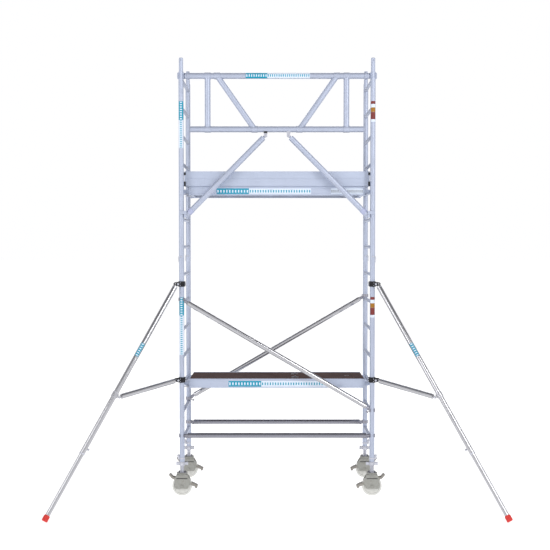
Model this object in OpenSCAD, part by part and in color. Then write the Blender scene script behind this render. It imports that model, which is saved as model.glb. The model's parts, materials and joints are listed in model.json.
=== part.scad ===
// Mobile aluminium tower scaffold: two levels of ladder frames on braked castors,
// two platforms, an advance guardrail on the front and two front stabilisers.
// Millimetres. +X right, -Y front, +Z up. The origin is on the floor, under the middle of
// the whole object's box, so the tower itself stands a little behind it.

/* [Tower] */
// Distance between left and right uprights, centre to centre
tower_len = 1920; // [1700:10:2400]
// Distance between front and back uprights, centre to centre
tower_wid = 750; // [700:10:1000]
// Y position of the front uprights
front_y = 99.6; // [0:1:300]
// Height of one ladder frame
frame_h = 1960; // [1960:280:2240]
// Height of the lower frames' bottom ends above the floor
frame_base_z = 344; // [330:1:400]

/* [Ladder frame] */
// Radius of an upright tube
tube_r = 25.4; // [24:0.1:27]
// Wall of an upright tube
tube_wall = 2; // [1.5:0.1:3]
// Radius of a rung
rung_r = 17; // [14:0.5:19]
// Distance from rung to rung
rung_pitch = 280; // [250:10:280]
// Height of the first rung above the frame's bottom end
first_rung = 210; // [180:5:230]
// Radius of the bare spigots on the top ends
spigot_r = 21; // [19:0.1:21.5]
// Length of spigot that stands out of a frame
spigot_h = 138; // [130:1:160]
// Height of the lock pin hole above the joint
clip_h = 113; // [100:1:120]

/* [Castor] */
// Radius of the wheel
wheel_r = 100; // [90:1:100]
// Width of the wheel
wheel_w = 46; // [40:1:50]
// Radius of the threaded stem
stem_r = 19; // [17:0.5:20]
// Length of the stem above its flange
stem_len = 520; // [400:10:600]
// Overall width of the wing nut
nut_span = 120; // [100:1:140]

/* [Platforms] */
// Height of a platform's side beam
beam_h = 91; // [85:1:100]
// Width of a platform over its side beams
platform_wid = 550; // [500:10:600]
// Length of the platform over its end beams
platform_len = 1790; // [1760:2:1792]
// Thickness of the plywood deck
deck_t = 12; // [9:1:15]
// Length of the trapdoor
hatch_len = 600; // [500:10:620]
// Height of the toe boards
toe_h = 150; // [150:1:160]

/* [Guardrail] */
// Height of the top rail's centre above the floor
top_rail_z = 4223; // [4220:1:4228]
// Height of the knee rail's centre above the floor
knee_rail_z = 3692; // [3600:1:3720]
// Radius of the two rails
rail_r = 29.5; // [25:0.5:30]
// Radius of the guardrail's diagonals
rail_diag_r = 28; // [20:0.5:28]
// Radius of the hinged struts
strut_r = 28; // [24:0.5:28]

/* [Braces] */
// Height of the two horizontal braces
low_brace_z = 609; // [603:1:640]
// Radius of a horizontal brace
low_brace_r = 25; // [21:0.5:25.5]
// Radius of a diagonal brace
diag_brace_r = 25.4; // [20:0.1:25.4]

/* [Stabilisers] */
// Angle from the tower's length out to the front
stab_angle = 40; // [30:0.5:60]
// Reach from the upright to the foot
stab_reach = 1519; // [1200:1:1700]
// Height of the upper clamp
upper_clamp_z = 2142; // [2000:1:2180]
// Height of the lower clamp
lower_clamp_z = 1175; // [1160:1:1340]
// Radius of the outer leg tube
leg_r = 25.4; // [25:0.1:26]
// Radius of the telescopic inner leg
inner_leg_r = 22.6; // [20:0.1:22.6]
// Radius of the arm
arm_r = 25.4; // [20:0.1:25.4]

/* [Hidden] */
$fn = 48;
gap = 0.3;                              // clearance between pieces that could touch
pin_gap = 0.05;                         // radial running clearance of a pin
seam = 0.02;                            // hairline at a weld, so that each welded piece is a solid
half_len = tower_len / 2;
back_y = front_y + tower_wid;
mid_y = (front_y + back_y) / 2;
bore_r = tube_r - tube_wall;
joint_z = frame_base_z + frame_h;       // where the upper frames start
top_z = joint_z + frame_h;              // top ends of the upper frames
rung_count = floor((frame_h - first_rung) / rung_pitch) + 1;
joint_spigot_r = spigot_r + 1;          // a snugger neck inside the frame joint
clip_hole_r = 4.5;
clip_pin_r = 4;
wire_r = 2.5;

axle_r = 8;
axle_z = wheel_r;
fork_y = 35;                            // outer face of the fork's cheeks
cheek_t = 4;
head_z = wheel_r * 2 + 3;               // underside of the fork's bridge
flange_z = head_z + 31;                 // top of the stem's flange
nut_h = 41;
rocker_x = 13;                          // pivot of the brake rocker
rocker_z = 151;

deck_gap = 1;
end_beam_w = 30;
beam_w = 30;
rung_up = 54;                           // beam top above the rung's centre
lower_rung_z = frame_base_z + first_rung + 2 * rung_pitch;
upper_rung_z = joint_z + first_rung + 2 * rung_pitch;
top_rung_z = joint_z + first_rung + (rung_count - 1) * rung_pitch;
plat_y0 = mid_y - platform_wid / 2;
plat_y1 = mid_y + platform_wid / 2;
hook_t = 12;
hook_inset = 42;                        // hook's middle in from the side beam's outer face
lock_x = half_len - 46;                 // axis of the wind lock's rod
lock_drop = 27;                         // rod's axis below the rung's centre
hatch_hinge_x = 190;
leaf_len = 40;                          // trapdoor hinge leaf, from the hinge's axis
toe_t = 20;
toe_z = upper_rung_z + rung_up + gap;
toe_half = 938;
toe_y0 = plat_y0 - 18;
toe_y1 = plat_y1 + 18;

post_r = rail_r - 1;
post_x = 694;
diag_top_x = 598;
diag_low_x = 225;
knee_half = 868;
strut_hinge_x = 115;
strut_hinge_z = knee_rail_z - rail_r - 32;
strut_foot_x = 897;
strut_foot_z = 2842;
strut_pin_r = 5;
hinge_r = 17;                           // half the width of a strut's hinge bracket

claw_in = tube_r + gap;
claw_out = 33;
claw_h = 30;
rail_claw_out = 38;
rail_claw_h = 56;
diag_low_z = frame_base_z + first_rung + rung_pitch + rung_r + claw_h / 2 + 1;
diag_high_z = diag_low_z + 4 * rung_pitch;
diag_slope = atan((diag_high_z - diag_low_z) / tower_len);
diag_inset = 62;                        // where a diagonal's tube starts along X from the upright

clamp_h = 54;
clamp_out = 34;
stab_pivot = 62;                        // leg's pivot out from the upright's axis
foot_r = 30;
foot_h = 62;
leg_tilt = atan((stab_reach - stab_pivot) / (upper_clamp_z - foot_r * 0.55));
leg_len = (upper_clamp_z - foot_r * sin(leg_tilt)) / cos(leg_tilt);   // pivot to the foot's end
outer_len = leg_len * 0.735;             // lower end of the outer tube
inner_top = leg_len * 0.34;             // upper end of the inner leg
collar_at = leg_len * 0.49;             // the arm's collar, from the leg's pivot
collar_x = stab_pivot + collar_at * sin(leg_tilt);
collar_z = upper_clamp_z - collar_at * cos(leg_tilt);
collar_arm = 48;                        // the arm's pin, from the leg's axis
arm_x1 = collar_x - collar_arm * cos(leg_tilt);
arm_z1 = collar_z - collar_arm * sin(leg_tilt);
arm_len = norm([arm_x1 - stab_pivot, arm_z1 - lower_clamp_z]);
arm_tilt = atan2(lower_clamp_z - arm_z1, arm_x1 - stab_pivot);
button_at = leg_len * 0.71;
button_r = 5;

C_TUBE = [0.80, 0.80, 0.88];
C_BEAM = [0.72, 0.77, 0.86];
C_STEEL = [0.60, 0.61, 0.63];
C_GREY = [0.56, 0.56, 0.53];
C_BLACK = [0.10, 0.10, 0.11];
C_WOOD = [0.28, 0.19, 0.16];
C_WHITE = [0.90, 0.90, 0.88];
C_RED = [0.85, 0.15, 0.13];

// ---------- helpers ----------

// A solid round bar from point a to point b, its seam turned away from the planes of symmetry
module bar(a, b, r) {
    d = b - a;
    translate(a)
        rotate([0, acos(d[2] / norm(d)), atan2(d[1], d[0])])
            rotate([0, 0, 50]) cylinder(h = norm(d), r = r);
}

// A round tube from point a to point b
module tube(a, b, r, wall) {
    dir = (b - a) / norm(b - a);
    difference() {
        bar(a, b, r);
        bar(a - dir, b + dir, r - wall);
    }
}

// A cylinder along Y, centred on the origin
module y_cyl(r, len) {
    rotate([90, 0, 0]) cylinder(h = len, r = r, center = true);
}

// Places a piece that is drawn for the left (side = -1) at a side: the right one is its mirror
module at_side(side) {
    mirror([side > 0 ? 1 : 0, 0, 0]) children();
}

// Places a piece drawn about a left upright's foot at one of the four corners
module at_corner(side, y) {
    at_side(side) translate([-half_len, y, 0]) children();
}

// ---------- ladder frames ----------

module upright(holes) {
    difference() {
        cylinder(h = frame_h, r = tube_r);
        translate([0, 0, -1]) cylinder(h = frame_h + 2, r = bore_r);
        if (holes) translate([0, 0, clip_h]) y_cyl(clip_hole_r, tube_r * 2 + 4);
    }
}

// A rung, with ends coped to lie against the uprights
module rung() {
    difference() {
        translate([0, tower_wid / 2, 0]) y_cyl(rung_r, tower_wid);
        translate([0, tower_wid / 2, 0]) y_cyl(rung_r - 2, tower_wid + 2);
        for (y = [0, tower_wid])
            translate([0, y, -rung_r - 1]) cylinder(h = rung_r * 2 + 2, r = tube_r + seam);
    }
}

module ladder_frame(side, base_z, holes) {
    color(C_TUBE)
    at_side(side) translate([-half_len, front_y, base_z]) {
        for (y = [0, tower_wid]) translate([0, y, 0]) upright(holes);
        for (i = [0 : rung_count - 1]) translate([0, 0, first_rung + i * rung_pitch]) rung();
    }
}

// One spigot: the root sits inside a frame's top end, and the neck stands out of it
module spigot(neck_r) {
    root = 150;
    chamfer = 6;
    difference() {
        union() {
            translate([0, 0, -root]) cylinder(h = root, r = bore_r - pin_gap);
            cylinder(h = spigot_h - chamfer, r = neck_r);
            translate([0, 0, spigot_h - chamfer])
                rotate_extrude()
                    polygon([[0, 0], [neck_r, 0], [neck_r - chamfer / 2, chamfer], [0, chamfer]]);
        }
        translate([0, 0, -root - 1]) cylinder(h = root + spigot_h + 2, r = spigot_r - 3);
        translate([0, 0, clip_h]) y_cyl(clip_hole_r, neck_r * 2 + 4);
    }
}

module spigots() {
    color(C_TUBE)
    for (side = [-1, 1], y = [front_y, back_y])
        at_corner(side, y) {
            translate([0, 0, joint_z]) spigot(joint_spigot_r);
            translate([0, 0, top_z]) spigot(spigot_r);
        }
}

// Lock pin through a frame joint, with a wire tail round the outside of the tube
module joint_clip() {
    wrap_r = tube_r + wire_r + 3;
    tail = 60;
    head = 4;
    color(C_STEEL)
    translate([0, 0, joint_z + clip_h]) {
        translate([0, -head, 0]) y_cyl(clip_pin_r, (wrap_r + head) * 2 - head);
        rotate([0, 0, 180]) rotate_extrude(angle = 90) translate([wrap_r, 0]) circle(r = wire_r);
        translate([-wrap_r, 0, -tail]) cylinder(h = tail + wire_r + 1, r = wire_r + 0.4);
    }
}

// ---------- castors ----------

module castor_nut() {
    wing_w = 18;
    color(C_STEEL)
    translate([0, 0, frame_base_z - gap - nut_h])
        difference() {
            union() {
                cylinder(h = nut_h, r = tube_r + 3);
                for (s = [-1, 1])
                    rotate([0, 0, s > 0 ? 0 : 180])
                        translate([0, -wing_w / 2, 14]) {
                            cube([nut_span / 2 - wing_w / 2, wing_w, 22]);
                            translate([nut_span / 2 - wing_w / 2, wing_w / 2, 0])
                                cylinder(h = 22, r = wing_w / 2);
                        }
            }
            translate([0, 0, -1]) cylinder(h = nut_h + 2, r = stem_r + pin_gap);
        }
}

module castor_stem() {
    flange_r = 55;
    color(C_STEEL) {
        difference() {
            union() {
                translate([0, 0, flange_z - 8]) cylinder(h = 8, r = flange_r);
                translate([0, 0, flange_z - 1]) cylinder(h = stem_len, r = stem_r);
            }
            translate([0, 0, flange_z + 30]) cylinder(h = stem_len, r = stem_r - 4);
            translate([0, 0, flange_z - 9]) cylinder(h = 17, r = 10 + pin_gap);
        }
        for (a = [45 : 90 : 315])
            rotate([0, 0, a]) translate([39, 0, flange_z]) cylinder(h = 8, r = 8);
    }
}

// Fork: swivel head, bridge, two cheeks, and the axle bolt as a solid of its own
module castor_fork() {
    cheek = [[-58, head_z + 2], [-74, 170], [-74, 120], [-62, 76], [68, 76], [92, 112], [90, 138], [76, 168],
             [58, head_z + 2]];
    color(C_GREY)
    difference() {
        union() {
            translate([0, 0, head_z]) cylinder(h = flange_z - 8 - gap - head_z, r = 52);
            translate([0, 0, head_z]) cylinder(h = flange_z - head_z + 6, r = 10);
            translate([-58, -fork_y, head_z]) cube([116, fork_y * 2, 8]);
            for (y = [-fork_y + cheek_t, fork_y])
                translate([0, y, 0]) rotate([90, 0, 0]) linear_extrude(cheek_t) polygon(cheek);
        }
        translate([0, 0, axle_z]) y_cyl(axle_r, fork_y * 3);
        translate([rocker_x, 0, rocker_z]) y_cyl(5 + pin_gap, fork_y * 3);
    }
    color(C_STEEL) {
        translate([0, 0, axle_z]) {
            y_cyl(axle_r - pin_gap, fork_y * 2);
            for (s = [-1, 1]) translate([0, s * (fork_y + 4), 0]) y_cyl(13, 8);
        }
    }
}

// Wheel: a tyre on a core that turns on the axle
module castor_wheel() {
    core_r = wheel_r - 18;
    translate([0, 0, axle_z]) {
        color(C_WHITE)
        difference() {
            union() {
                y_cyl(wheel_r, wheel_w - 12);
                y_cyl(wheel_r - 5, wheel_w);
            }
            y_cyl(core_r, wheel_w + 2);
        }
        color(C_GREY)
        difference() {
            union() {
                y_cyl(core_r, wheel_w - 10);
                y_cyl(24, wheel_w + 2);
            }
            y_cyl(axle_r + pin_gap, wheel_w + 6);
        }
    }
}

// Brake rocker: two thin side arms between wheel and cheeks, joined by the two pedals
module castor_brake() {
    arm_y = fork_y - cheek_t - gap;
    arm_t = 3;
    high_pedal = [[-100, 172], [-88, 190], [-118, 224], [-134, 214]];
    low_pedal = [[104, 150], [104, 124], [148, 76], [163, 90]];
    outline = [[-100, 172], [-88, 192], [rocker_x, 163], [104, 150], [104, 132], [rocker_x, 139]];
    color(C_GREY) {
        difference() {
            union() {
                for (s = [0, 1])
                    mirror([0, s, 0]) {
                        translate([0, -arm_y + arm_t, 0])
                            rotate([90, 0, 0]) linear_extrude(arm_t) polygon(outline);
                        translate([rocker_x, -arm_y - cheek_t / 2 - 0.5, rocker_z]) y_cyl(5, cheek_t + 1);
                    }
                for (p = [high_pedal, low_pedal])
                    translate([0, arm_y, 0]) rotate([90, 0, 0]) linear_extrude(arm_y * 2) polygon(p);
            }
            translate([0, 0, axle_z]) y_cyl(wheel_r + 4, wheel_w + 4);
        }
    }
}

// ---------- platforms ----------

module side_beam_profile() {
    ledge = 12;
    difference() {
        square([beam_w, beam_h]);
        translate([2.5, 2.5]) square([beam_w - 5, beam_h - 5]);
    }
    translate([beam_w, beam_h - deck_t - 2 - 4]) square([ledge, 4]);
}

// A side beam along X, standing on z = 0 with its outer face on y = 0
module side_beam() {
    translate([-platform_len / 2, 0, 0])
        rotate([90, 0, 90]) linear_extrude(platform_len) side_beam_profile();
}

// A hook that reaches from the end beam over the rung, with a lug for the wind lock's rod
module platform_hook(lug) {
    lip = 6;
    in_r = rung_r + gap;
    root_x = half_len - platform_len / 2 - seam;
    lug_x = rung_r + 18;
    rotate([90, 0, 0])
        linear_extrude(hook_t, center = true)
            difference() {
                union() {
                    circle(r = in_r + lip);
                    translate([0, -18]) square([root_x, in_r + lip + 18]);
                    if (lug) translate([lug_x, -40]) square([root_x - lug_x, 42]);
                }
                circle(r = in_r);
                translate([-40, -60]) square([40 + in_r * 0.98, 60]);
                if (lug) translate([half_len - lock_x, -lock_drop]) circle(r = 5 + pin_gap);
            }
}

module platform_frame(rung_z) {
    base = rung_z + rung_up - beam_h;
    end_h = 56;
    inner_w = platform_wid - beam_w * 2 - seam * 2;
    color(C_BEAM) {
        translate([0, plat_y0, base]) side_beam();
        translate([0, plat_y1, base]) mirror([0, 1, 0]) side_beam();
        for (s = [-1, 1])
            translate([s * (platform_len - end_beam_w) / 2, mid_y, base + (beam_h - deck_t - 6) / 2])
                cube([end_beam_w, inner_w, beam_h - deck_t - 20], center = true);
        for (x = [-500, -60, hatch_hinge_x - 40])
            translate([x, mid_y, base + beam_h - deck_t - 2 - 20])
                cube([40, inner_w, 28], center = true);
        for (s = [-1, 1], y = [plat_y0 + hook_inset, plat_y1 - hook_inset])
            at_side(s) translate([-half_len, y, rung_z]) platform_hook(s < 0);
    }
}

// Fixed part of the plywood deck: the main board and the strip beyond the trapdoor
module platform_deck(rung_z) {
    w = platform_wid - beam_w * 2 - deck_gap * 2;
    x0 = -platform_len / 2 + deck_gap;
    x1 = hatch_hinge_x + hatch_len + deck_gap * 3;
    top = rung_z + rung_up - 2;
    color(C_WOOD) {
        translate([x0, mid_y - w / 2, top - deck_t]) cube([hatch_hinge_x - deck_gap - x0, w, deck_t]);
        translate([x1, mid_y - w / 2, top - deck_t]) cube([platform_len / 2 - deck_gap - x1, w, deck_t]);
    }
    color(C_STEEL) {
        for (y = [-120, 120])
            translate([hatch_hinge_x - leaf_len, mid_y + y - 30, top]) cube([leaf_len - 9, 60, 3]);
        for (y = [-120, 120])
            translate([hatch_hinge_x, mid_y + y, top + 7]) y_cyl(4 - pin_gap, 62);
        for (y = [-120, 120], s = [-1, 1])
            translate([hatch_hinge_x, mid_y + y + s * 25, top + 7])
                difference() {
                    union() {
                        y_cyl(7, 10);
                        translate([-14, -5, -7]) cube([14, 10, 7]);
                    }
                    y_cyl(4, 12);
                }
    }
}

// Trapdoor, with the moving knuckles of its hinges and a finger hole
module platform_hatch(rung_z) {
    w = platform_wid - beam_w * 2 - deck_gap * 4;
    top = rung_z + rung_up - 2;
    color(C_WOOD)
    difference() {
        translate([hatch_hinge_x + deck_gap, mid_y - w / 2, top - deck_t])
            cube([hatch_len, w, deck_t]);
        translate([hatch_hinge_x + hatch_len - 60, mid_y, top - deck_t - 1])
            cylinder(h = deck_t + 2, r = 18);
    }
    color(C_STEEL)
    for (y = [-120, 120])
        translate([hatch_hinge_x, mid_y + y, top + 7])
            difference() {
                union() {
                    y_cyl(7, 39);
                    translate([0, -19.5, -7]) cube([34, 39, 3]);
                }
                y_cyl(4 + pin_gap, 42);
            }
}

// Wind lock: a rod along Y with two fingers that reach under the rung
module platform_windlock(rung_z) {
    rod_r = 5;
    finger_w = 10;
    tab_h = 16;
    y_pos = [plat_y0 + hook_inset, plat_y1 - hook_inset];
    color(C_STEEL)
    translate([-lock_x, 0, rung_z - lock_drop]) {
        translate([0, mid_y, 0]) y_cyl(rod_r, y_pos[1] - y_pos[0] + 44);
        for (s = [-1, 1])
            translate([0, s < 0 ? y_pos[0] - 14 : y_pos[1] + 14, 0]) {
                y_cyl(9, finger_w);
                translate([-66, -finger_w / 2, -2]) cube([66, finger_w, 8]);
                translate([-3, -finger_w / 2, -tab_h]) cube([8, finger_w, tab_h]);
            }
    }
}

// ---------- toe boards ----------

// A hollow board that stands on its long edge along X, with its outer face on y = 0
module toe_board(len) {
    rotate([90, 0, 90])
        linear_extrude(len, center = true)
            difference() {
                square([toe_t, toe_h]);
                for (z = [0, 1])
                    translate([2, 2 + z * (toe_h / 2 - 1)]) square([toe_t - 4, toe_h / 2 - 3]);
            }
}

module toe_boards() {
    color(C_BEAM) {
        translate([0, toe_y0, toe_z]) toe_board(toe_half * 2);
        translate([0, toe_y1 - toe_t, toe_z]) toe_board(toe_half * 2);
        for (s = [-1, 1])
            translate([s * (toe_half - 14) + 10, mid_y, toe_z])
                rotate([0, 0, 90]) toe_board(toe_y1 - toe_y0 - toe_t * 2 - 8);
    }
}

// Black corner brackets, two at each corner of the toe boards
module toe_board_brackets() {
    color(C_BLACK)
    for (side = [-1, 1], fb = [0, 1], place = [[1, 46], [112, 27]])
        at_side(side)
            translate([-toe_half, mid_y, toe_z + place[0]])
                mirror([0, fb, 0])
                    translate([0, toe_y0 - mid_y, 0])
                        linear_extrude(place[1])
                            difference() {
                                translate([-8, -6]) square([24, toe_t + 32]);
                                square([60, toe_t]);
                                translate([4 - gap, toe_t]) square([20 + gap * 2, 40]);
                            }
}

// ---------- advance guardrail ----------

module rail_saddle(a, b, r, rails) {
    difference() {
        tube(a, b, r, 2);
        for (z = rails) translate([0, front_y, z]) rotate([0, 90, 0])
            cylinder(h = tower_len, r = rail_r, center = true);
    }
}

module guardrail_frame() {
    rails = [top_rail_z, knee_rail_z];
    color(C_TUBE) {
        tube([-half_len + 60, front_y, top_rail_z], [half_len - 60, front_y, top_rail_z], rail_r, 2);
        tube([-knee_half, front_y, knee_rail_z], [knee_half, front_y, knee_rail_z], rail_r, 2);
        for (s = [-1, 1]) {
            rail_saddle([s * post_x, front_y, knee_rail_z], [s * post_x, front_y, top_rail_z], post_r, rails);
            rail_saddle([s * diag_low_x, front_y, knee_rail_z], [s * diag_top_x, front_y, top_rail_z],
                        rail_diag_r, rails);
        }
    }
}

// A claw that holds a left upright from the tower's side: its mouth opens outward along -Y.
// The neck ends in a plug that fits into the end of a tube that leaves at the given slope.
module claw(slope, plug_r, reach, out_r, height) {
    plug_len = 24;
    difference() {
        union() {
            cylinder(h = height, r = out_r, center = true);
            rotate([0, 90 + slope, 0]) {
                cylinder(h = reach, r = claw_h / 2);
                translate([0, 0, reach - plug_len]) cylinder(h = plug_len, r = plug_r);
            }
        }
        cylinder(h = height * 3, r = claw_in, center = true);
        rotate([0, 0, -90]) translate([0, 0, -height])
            linear_extrude(height * 2) polygon([[0, 0], [60, -42], [60, 42]]);
    }
}

module guardrail_claws() {
    color(C_TUBE)
    for (s = [-1, 1])
        at_corner(s, front_y) translate([0, 0, top_rail_z]) {
            difference() {
                claw(0, rail_r - 2 - gap, 90, rail_claw_out, rail_claw_h);
                // Room for the top rung, which leaves the same upright towards the back
                translate([0, 0, top_rung_z - top_rail_z])
                    rotate([-90, 0, 0]) cylinder(h = 60, r = rung_r + gap);
            }
            difference() {
                translate([40, 0, 0]) rotate([0, 90, 0]) cylinder(h = 18, r = rail_r);
                cylinder(h = 90, r = claw_in, center = true);
            }
        }
}

// Clevis brackets under the knee rail, with the struts' pins
module guardrail_hinges() {
    color(C_STEEL)
    for (s = [-1, 1])
        translate([s * strut_hinge_x, front_y, strut_hinge_z]) {
            difference() {
                union() {
                    for (y = [-20, 14]) translate([-hinge_r, y, 0]) cube([hinge_r * 2, 6, 50]);
                    for (y = [-17, 17]) translate([0, y, 0]) y_cyl(hinge_r, 6);
                    translate([-hinge_r, -20, 26]) cube([hinge_r * 2, 40, 24]);
                }
                y_cyl(strut_pin_r, 60);
                translate([0, 0, knee_rail_z - strut_hinge_z])
                    rotate([0, 90, 0]) cylinder(h = 60, r = rail_r, center = true);
            }
            y_cyl(strut_pin_r - pin_gap, 48);
        }
}

// Hinged strut: an eye at the top, the tube, and a hook that rests on the upright
module guardrail_strut(side) {
    top = [-strut_hinge_x, front_y, strut_hinge_z];
    low = [-strut_foot_x, front_y, strut_foot_z];
    dir = (low - top) / norm(low - top);
    neck = 60;
    color(C_TUBE)
    at_side(side) {
        difference() {
            union() {
                translate(top) y_cyl(14, 26);
                bar(top + dir * 2, top + dir * neck, 12.5);
                bar(top + dir * 32, top + dir * neck, strut_r);
            }
            translate(top) y_cyl(strut_pin_r + pin_gap, 40);
        }
        tube(top + dir * (neck + seam), low - dir * 10, strut_r, 2);
        difference() {
            union() {
                difference() {
                    translate([-half_len, front_y, strut_foot_z]) {
                        translate([tube_r + gap, -25, -34]) cube([30, 50, 68]);
                        translate([-tube_r + 6, -tube_r - 7, 0]) cube([tube_r * 2 + 24, 7 - gap, 34]);
                        translate([tube_r + gap, -tube_r - 7, 0]) cube([24, 14, 34]);
                    }
                    bar(low - dir * 110, low - dir * (10 - seam), strut_r + seam);
                }
                bar(low - dir * 50, low + dir * 6, strut_r - 2 - gap);
            }
            translate([-half_len, front_y, strut_foot_z]) cylinder(h = 200, r = tube_r + gap, center = true);
        }
    }
}

// ---------- braces ----------

module horizontal_braces() {
    inset = half_len - 58;
    color(C_TUBE)
    for (y = [front_y, back_y])
        tube([-inset, y, low_brace_z], [inset, y, low_brace_z], low_brace_r, 2);
}

module diagonal_brace(side) {
    drop = diag_inset * tan(diag_slope);
    at_side(side)
        tube([-half_len + diag_inset, 0, diag_high_z - drop],
             [half_len - diag_inset, 0, diag_low_z + drop], diag_brace_r, 2);
}

module diagonal_braces() {
    color(C_STEEL) {
        translate([0, front_y, 0]) diagonal_brace(-1);
        translate([0, back_y, 0]) diagonal_brace(1);
    }
}

module brace_claws() {
    color(C_STEEL)
    for (s = [-1, 1], fb = [0, 1])
        at_side(s) translate([-half_len, mid_y, 0]) mirror([0, fb, 0]) translate([0, -tower_wid / 2, 0]) {
            translate([0, 0, low_brace_z]) claw(0, low_brace_r - 2 - gap, 84, claw_out, claw_h);
            // The front diagonal is high on the left, and the back one high on the right
            if ((s < 0) == (fb == 0))
                translate([0, 0, diag_high_z]) claw(diag_slope, diag_brace_r - 2 - gap, 98, claw_out, claw_h);
            else
                translate([0, 0, diag_low_z]) claw(-diag_slope, diag_brace_r - 2 - gap, 98, claw_out, claw_h);
        }
}

// ---------- stabilisers ----------

// Places a stabiliser that is drawn in the XZ plane, reaching out along -X from the upright
module at_stabiliser(side) {
    at_corner(side, front_y) rotate([0, 0, stab_angle]) mirror([1, 0, 0]) children();
}

// The leg's own frame: the origin on its pivot, +Z down along the leg, +X towards the ground side
module at_leg() {
    translate([stab_pivot, 0, upper_clamp_z]) rotate([0, 180 - leg_tilt, 0]) children();
}

// A cylinder along the leg between two distances from the pivot
module leg_bar(from, to, r) {
    translate([0, 0, from]) rotate([0, 0, 50]) cylinder(h = to - from, r = r);
}

module clamp_band() {
    lug_w = 12;
    difference() {
        union() {
            cylinder(h = clamp_h, r = clamp_out, center = true);
            for (s = [-1, 1])
                translate([0, s * (lug_w / 2 + 14) - lug_w / 2, -clamp_h / 2 + 6])
                    cube([stab_pivot, lug_w, clamp_h - 12]);
            for (s = [-1, 1]) translate([stab_pivot, s * (lug_w / 2 + 14), 0]) y_cyl(21, lug_w);
            translate([-clamp_out - 8, -6, -clamp_h / 2]) cube([18, 12, clamp_h]);
        }
        cylinder(h = clamp_h + 2, r = tube_r + pin_gap, center = true);
        translate([stab_pivot, 0, 0]) y_cyl(6, 80);
        translate([tube_r + 12, -14, -clamp_h]) cube([80, 28, clamp_h * 2]);
    }
    translate([stab_pivot, 0, 0]) y_cyl(6 - pin_gap, 62);
}

module stabiliser_clamps(side) {
    color(C_BLACK)
    at_stabiliser(side)
        for (z = [upper_clamp_z, lower_clamp_z]) translate([0, 0, z]) clamp_band();
}

module stabiliser_tube(side) {
    color(C_STEEL)
    at_stabiliser(side) at_leg() {
        difference() {
            union() {
                y_cyl(16, 26);
                leg_bar(2, 44, 12.5);
                leg_bar(30, outer_len, leg_r);
            }
            leg_bar(50, outer_len + 5, inner_leg_r + 0.5);
            y_cyl(6 + pin_gap, 60);
            translate([0, 0, button_at]) rotate([0, 90, 0]) cylinder(h = 60, r = button_r + pin_gap);
        }
        // Collar with the lug that holds the arm's pin
        translate([0, 0, collar_at]) {
            difference() {
                union() {
                    leg_bar(-25, 25, leg_r + 5);
                    for (y = [-20, 14]) translate([0, y, -13]) cube([collar_arm, 6, 26]);
                    for (y = [-17, 17]) translate([collar_arm, y, 0]) y_cyl(13, 6);
                }
                leg_bar(-30, 30, leg_r);
                translate([collar_arm, 0, 0]) y_cyl(5, 60);
            }
            translate([collar_arm, 0, 0]) y_cyl(5 - pin_gap, 46);
        }
    }
}

// Eye with a plug that fits into a tube: drawn on the pin, with the tube along +Z
module tube_eye(pin_r, eye_r, tube_inner) {
    difference() {
        union() {
            y_cyl(eye_r, 24);
            rotate([0, 0, 50]) cylinder(h = 50, r = 11);
            translate([0, 0, 30]) rotate([0, 0, 50]) cylinder(h = 34, r = tube_inner - pin_gap);
        }
        y_cyl(pin_r + pin_gap, 60);
    }
}

// Arm from the lower clamp to the leg's collar
module stabiliser_arm(side) {
    eye = 32;
    color(C_STEEL)
    at_stabiliser(side)
        translate([stab_pivot, 0, lower_clamp_z]) rotate([0, 90 + arm_tilt, 0]) {
            tube([0, 0, eye], [0, 0, arm_len - eye], arm_r, 2);
            tube_eye(6, 13, arm_r - 2);
            translate([0, 0, arm_len]) rotate([0, 180, 0]) tube_eye(5, 12, arm_r - 2);
        }
}

// Telescopic inner leg, with its row of adjustment holes
module stabiliser_leg(side) {
    hole_pitch = 125;
    color(C_STEEL)
    at_stabiliser(side) at_leg()
        difference() {
            leg_bar(inner_top, leg_len - 8, inner_leg_r);
            leg_bar(inner_top - 5, leg_len - 20, inner_leg_r - 2);
            for (i = [-3 : 4])
                translate([0, 0, button_at + i * hole_pitch])
                    rotate([0, 90, 0]) cylinder(h = 60, r = button_r + pin_gap);
        }
}

module stabiliser_foot(side) {
    color(C_RED)
    at_stabiliser(side) at_leg()
        difference() {
            union() {
                leg_bar(leg_len - foot_h, leg_len, foot_r);
                leg_bar(leg_len - foot_h - 8, leg_len - foot_h + 1, foot_r - 6);
            }
            leg_bar(leg_len - foot_h - 20, leg_len - 8, inner_leg_r);
        }
}

// Pull knob whose pin goes through the outer tube and into a hole of the inner leg.
// It is drawn pulled back just clear of the inner leg, which is then free to slide.
module stabiliser_button(side) {
    color(C_STEEL)
    at_stabiliser(side) at_leg()
        translate([0, 0, button_at]) rotate([0, 90, 0]) {
            translate([0, 0, inner_leg_r + gap]) cylinder(h = 14, r = button_r);
            translate([0, 0, leg_r + 9]) cylinder(h = 14, r = 10);
        }
}

// A catch on each lower upright that keeps the castor's stem from dropping out
module stem_locks() {
    lock_z = frame_base_z + 48;
    color(C_STEEL)
    for (side = [-1, 1], y = [front_y, back_y])
        at_corner(side, y)
            difference() {
                translate([-tube_r - 18, -9, lock_z - 26]) {
                    cube([22, 18, 40]);
                    translate([0, 9, 40]) y_cyl(9, 18);
                }
                translate([0, 0, lock_z - 60]) cylinder(h = 120, r = tube_r);
            }
}

// ---------- build ----------

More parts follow.
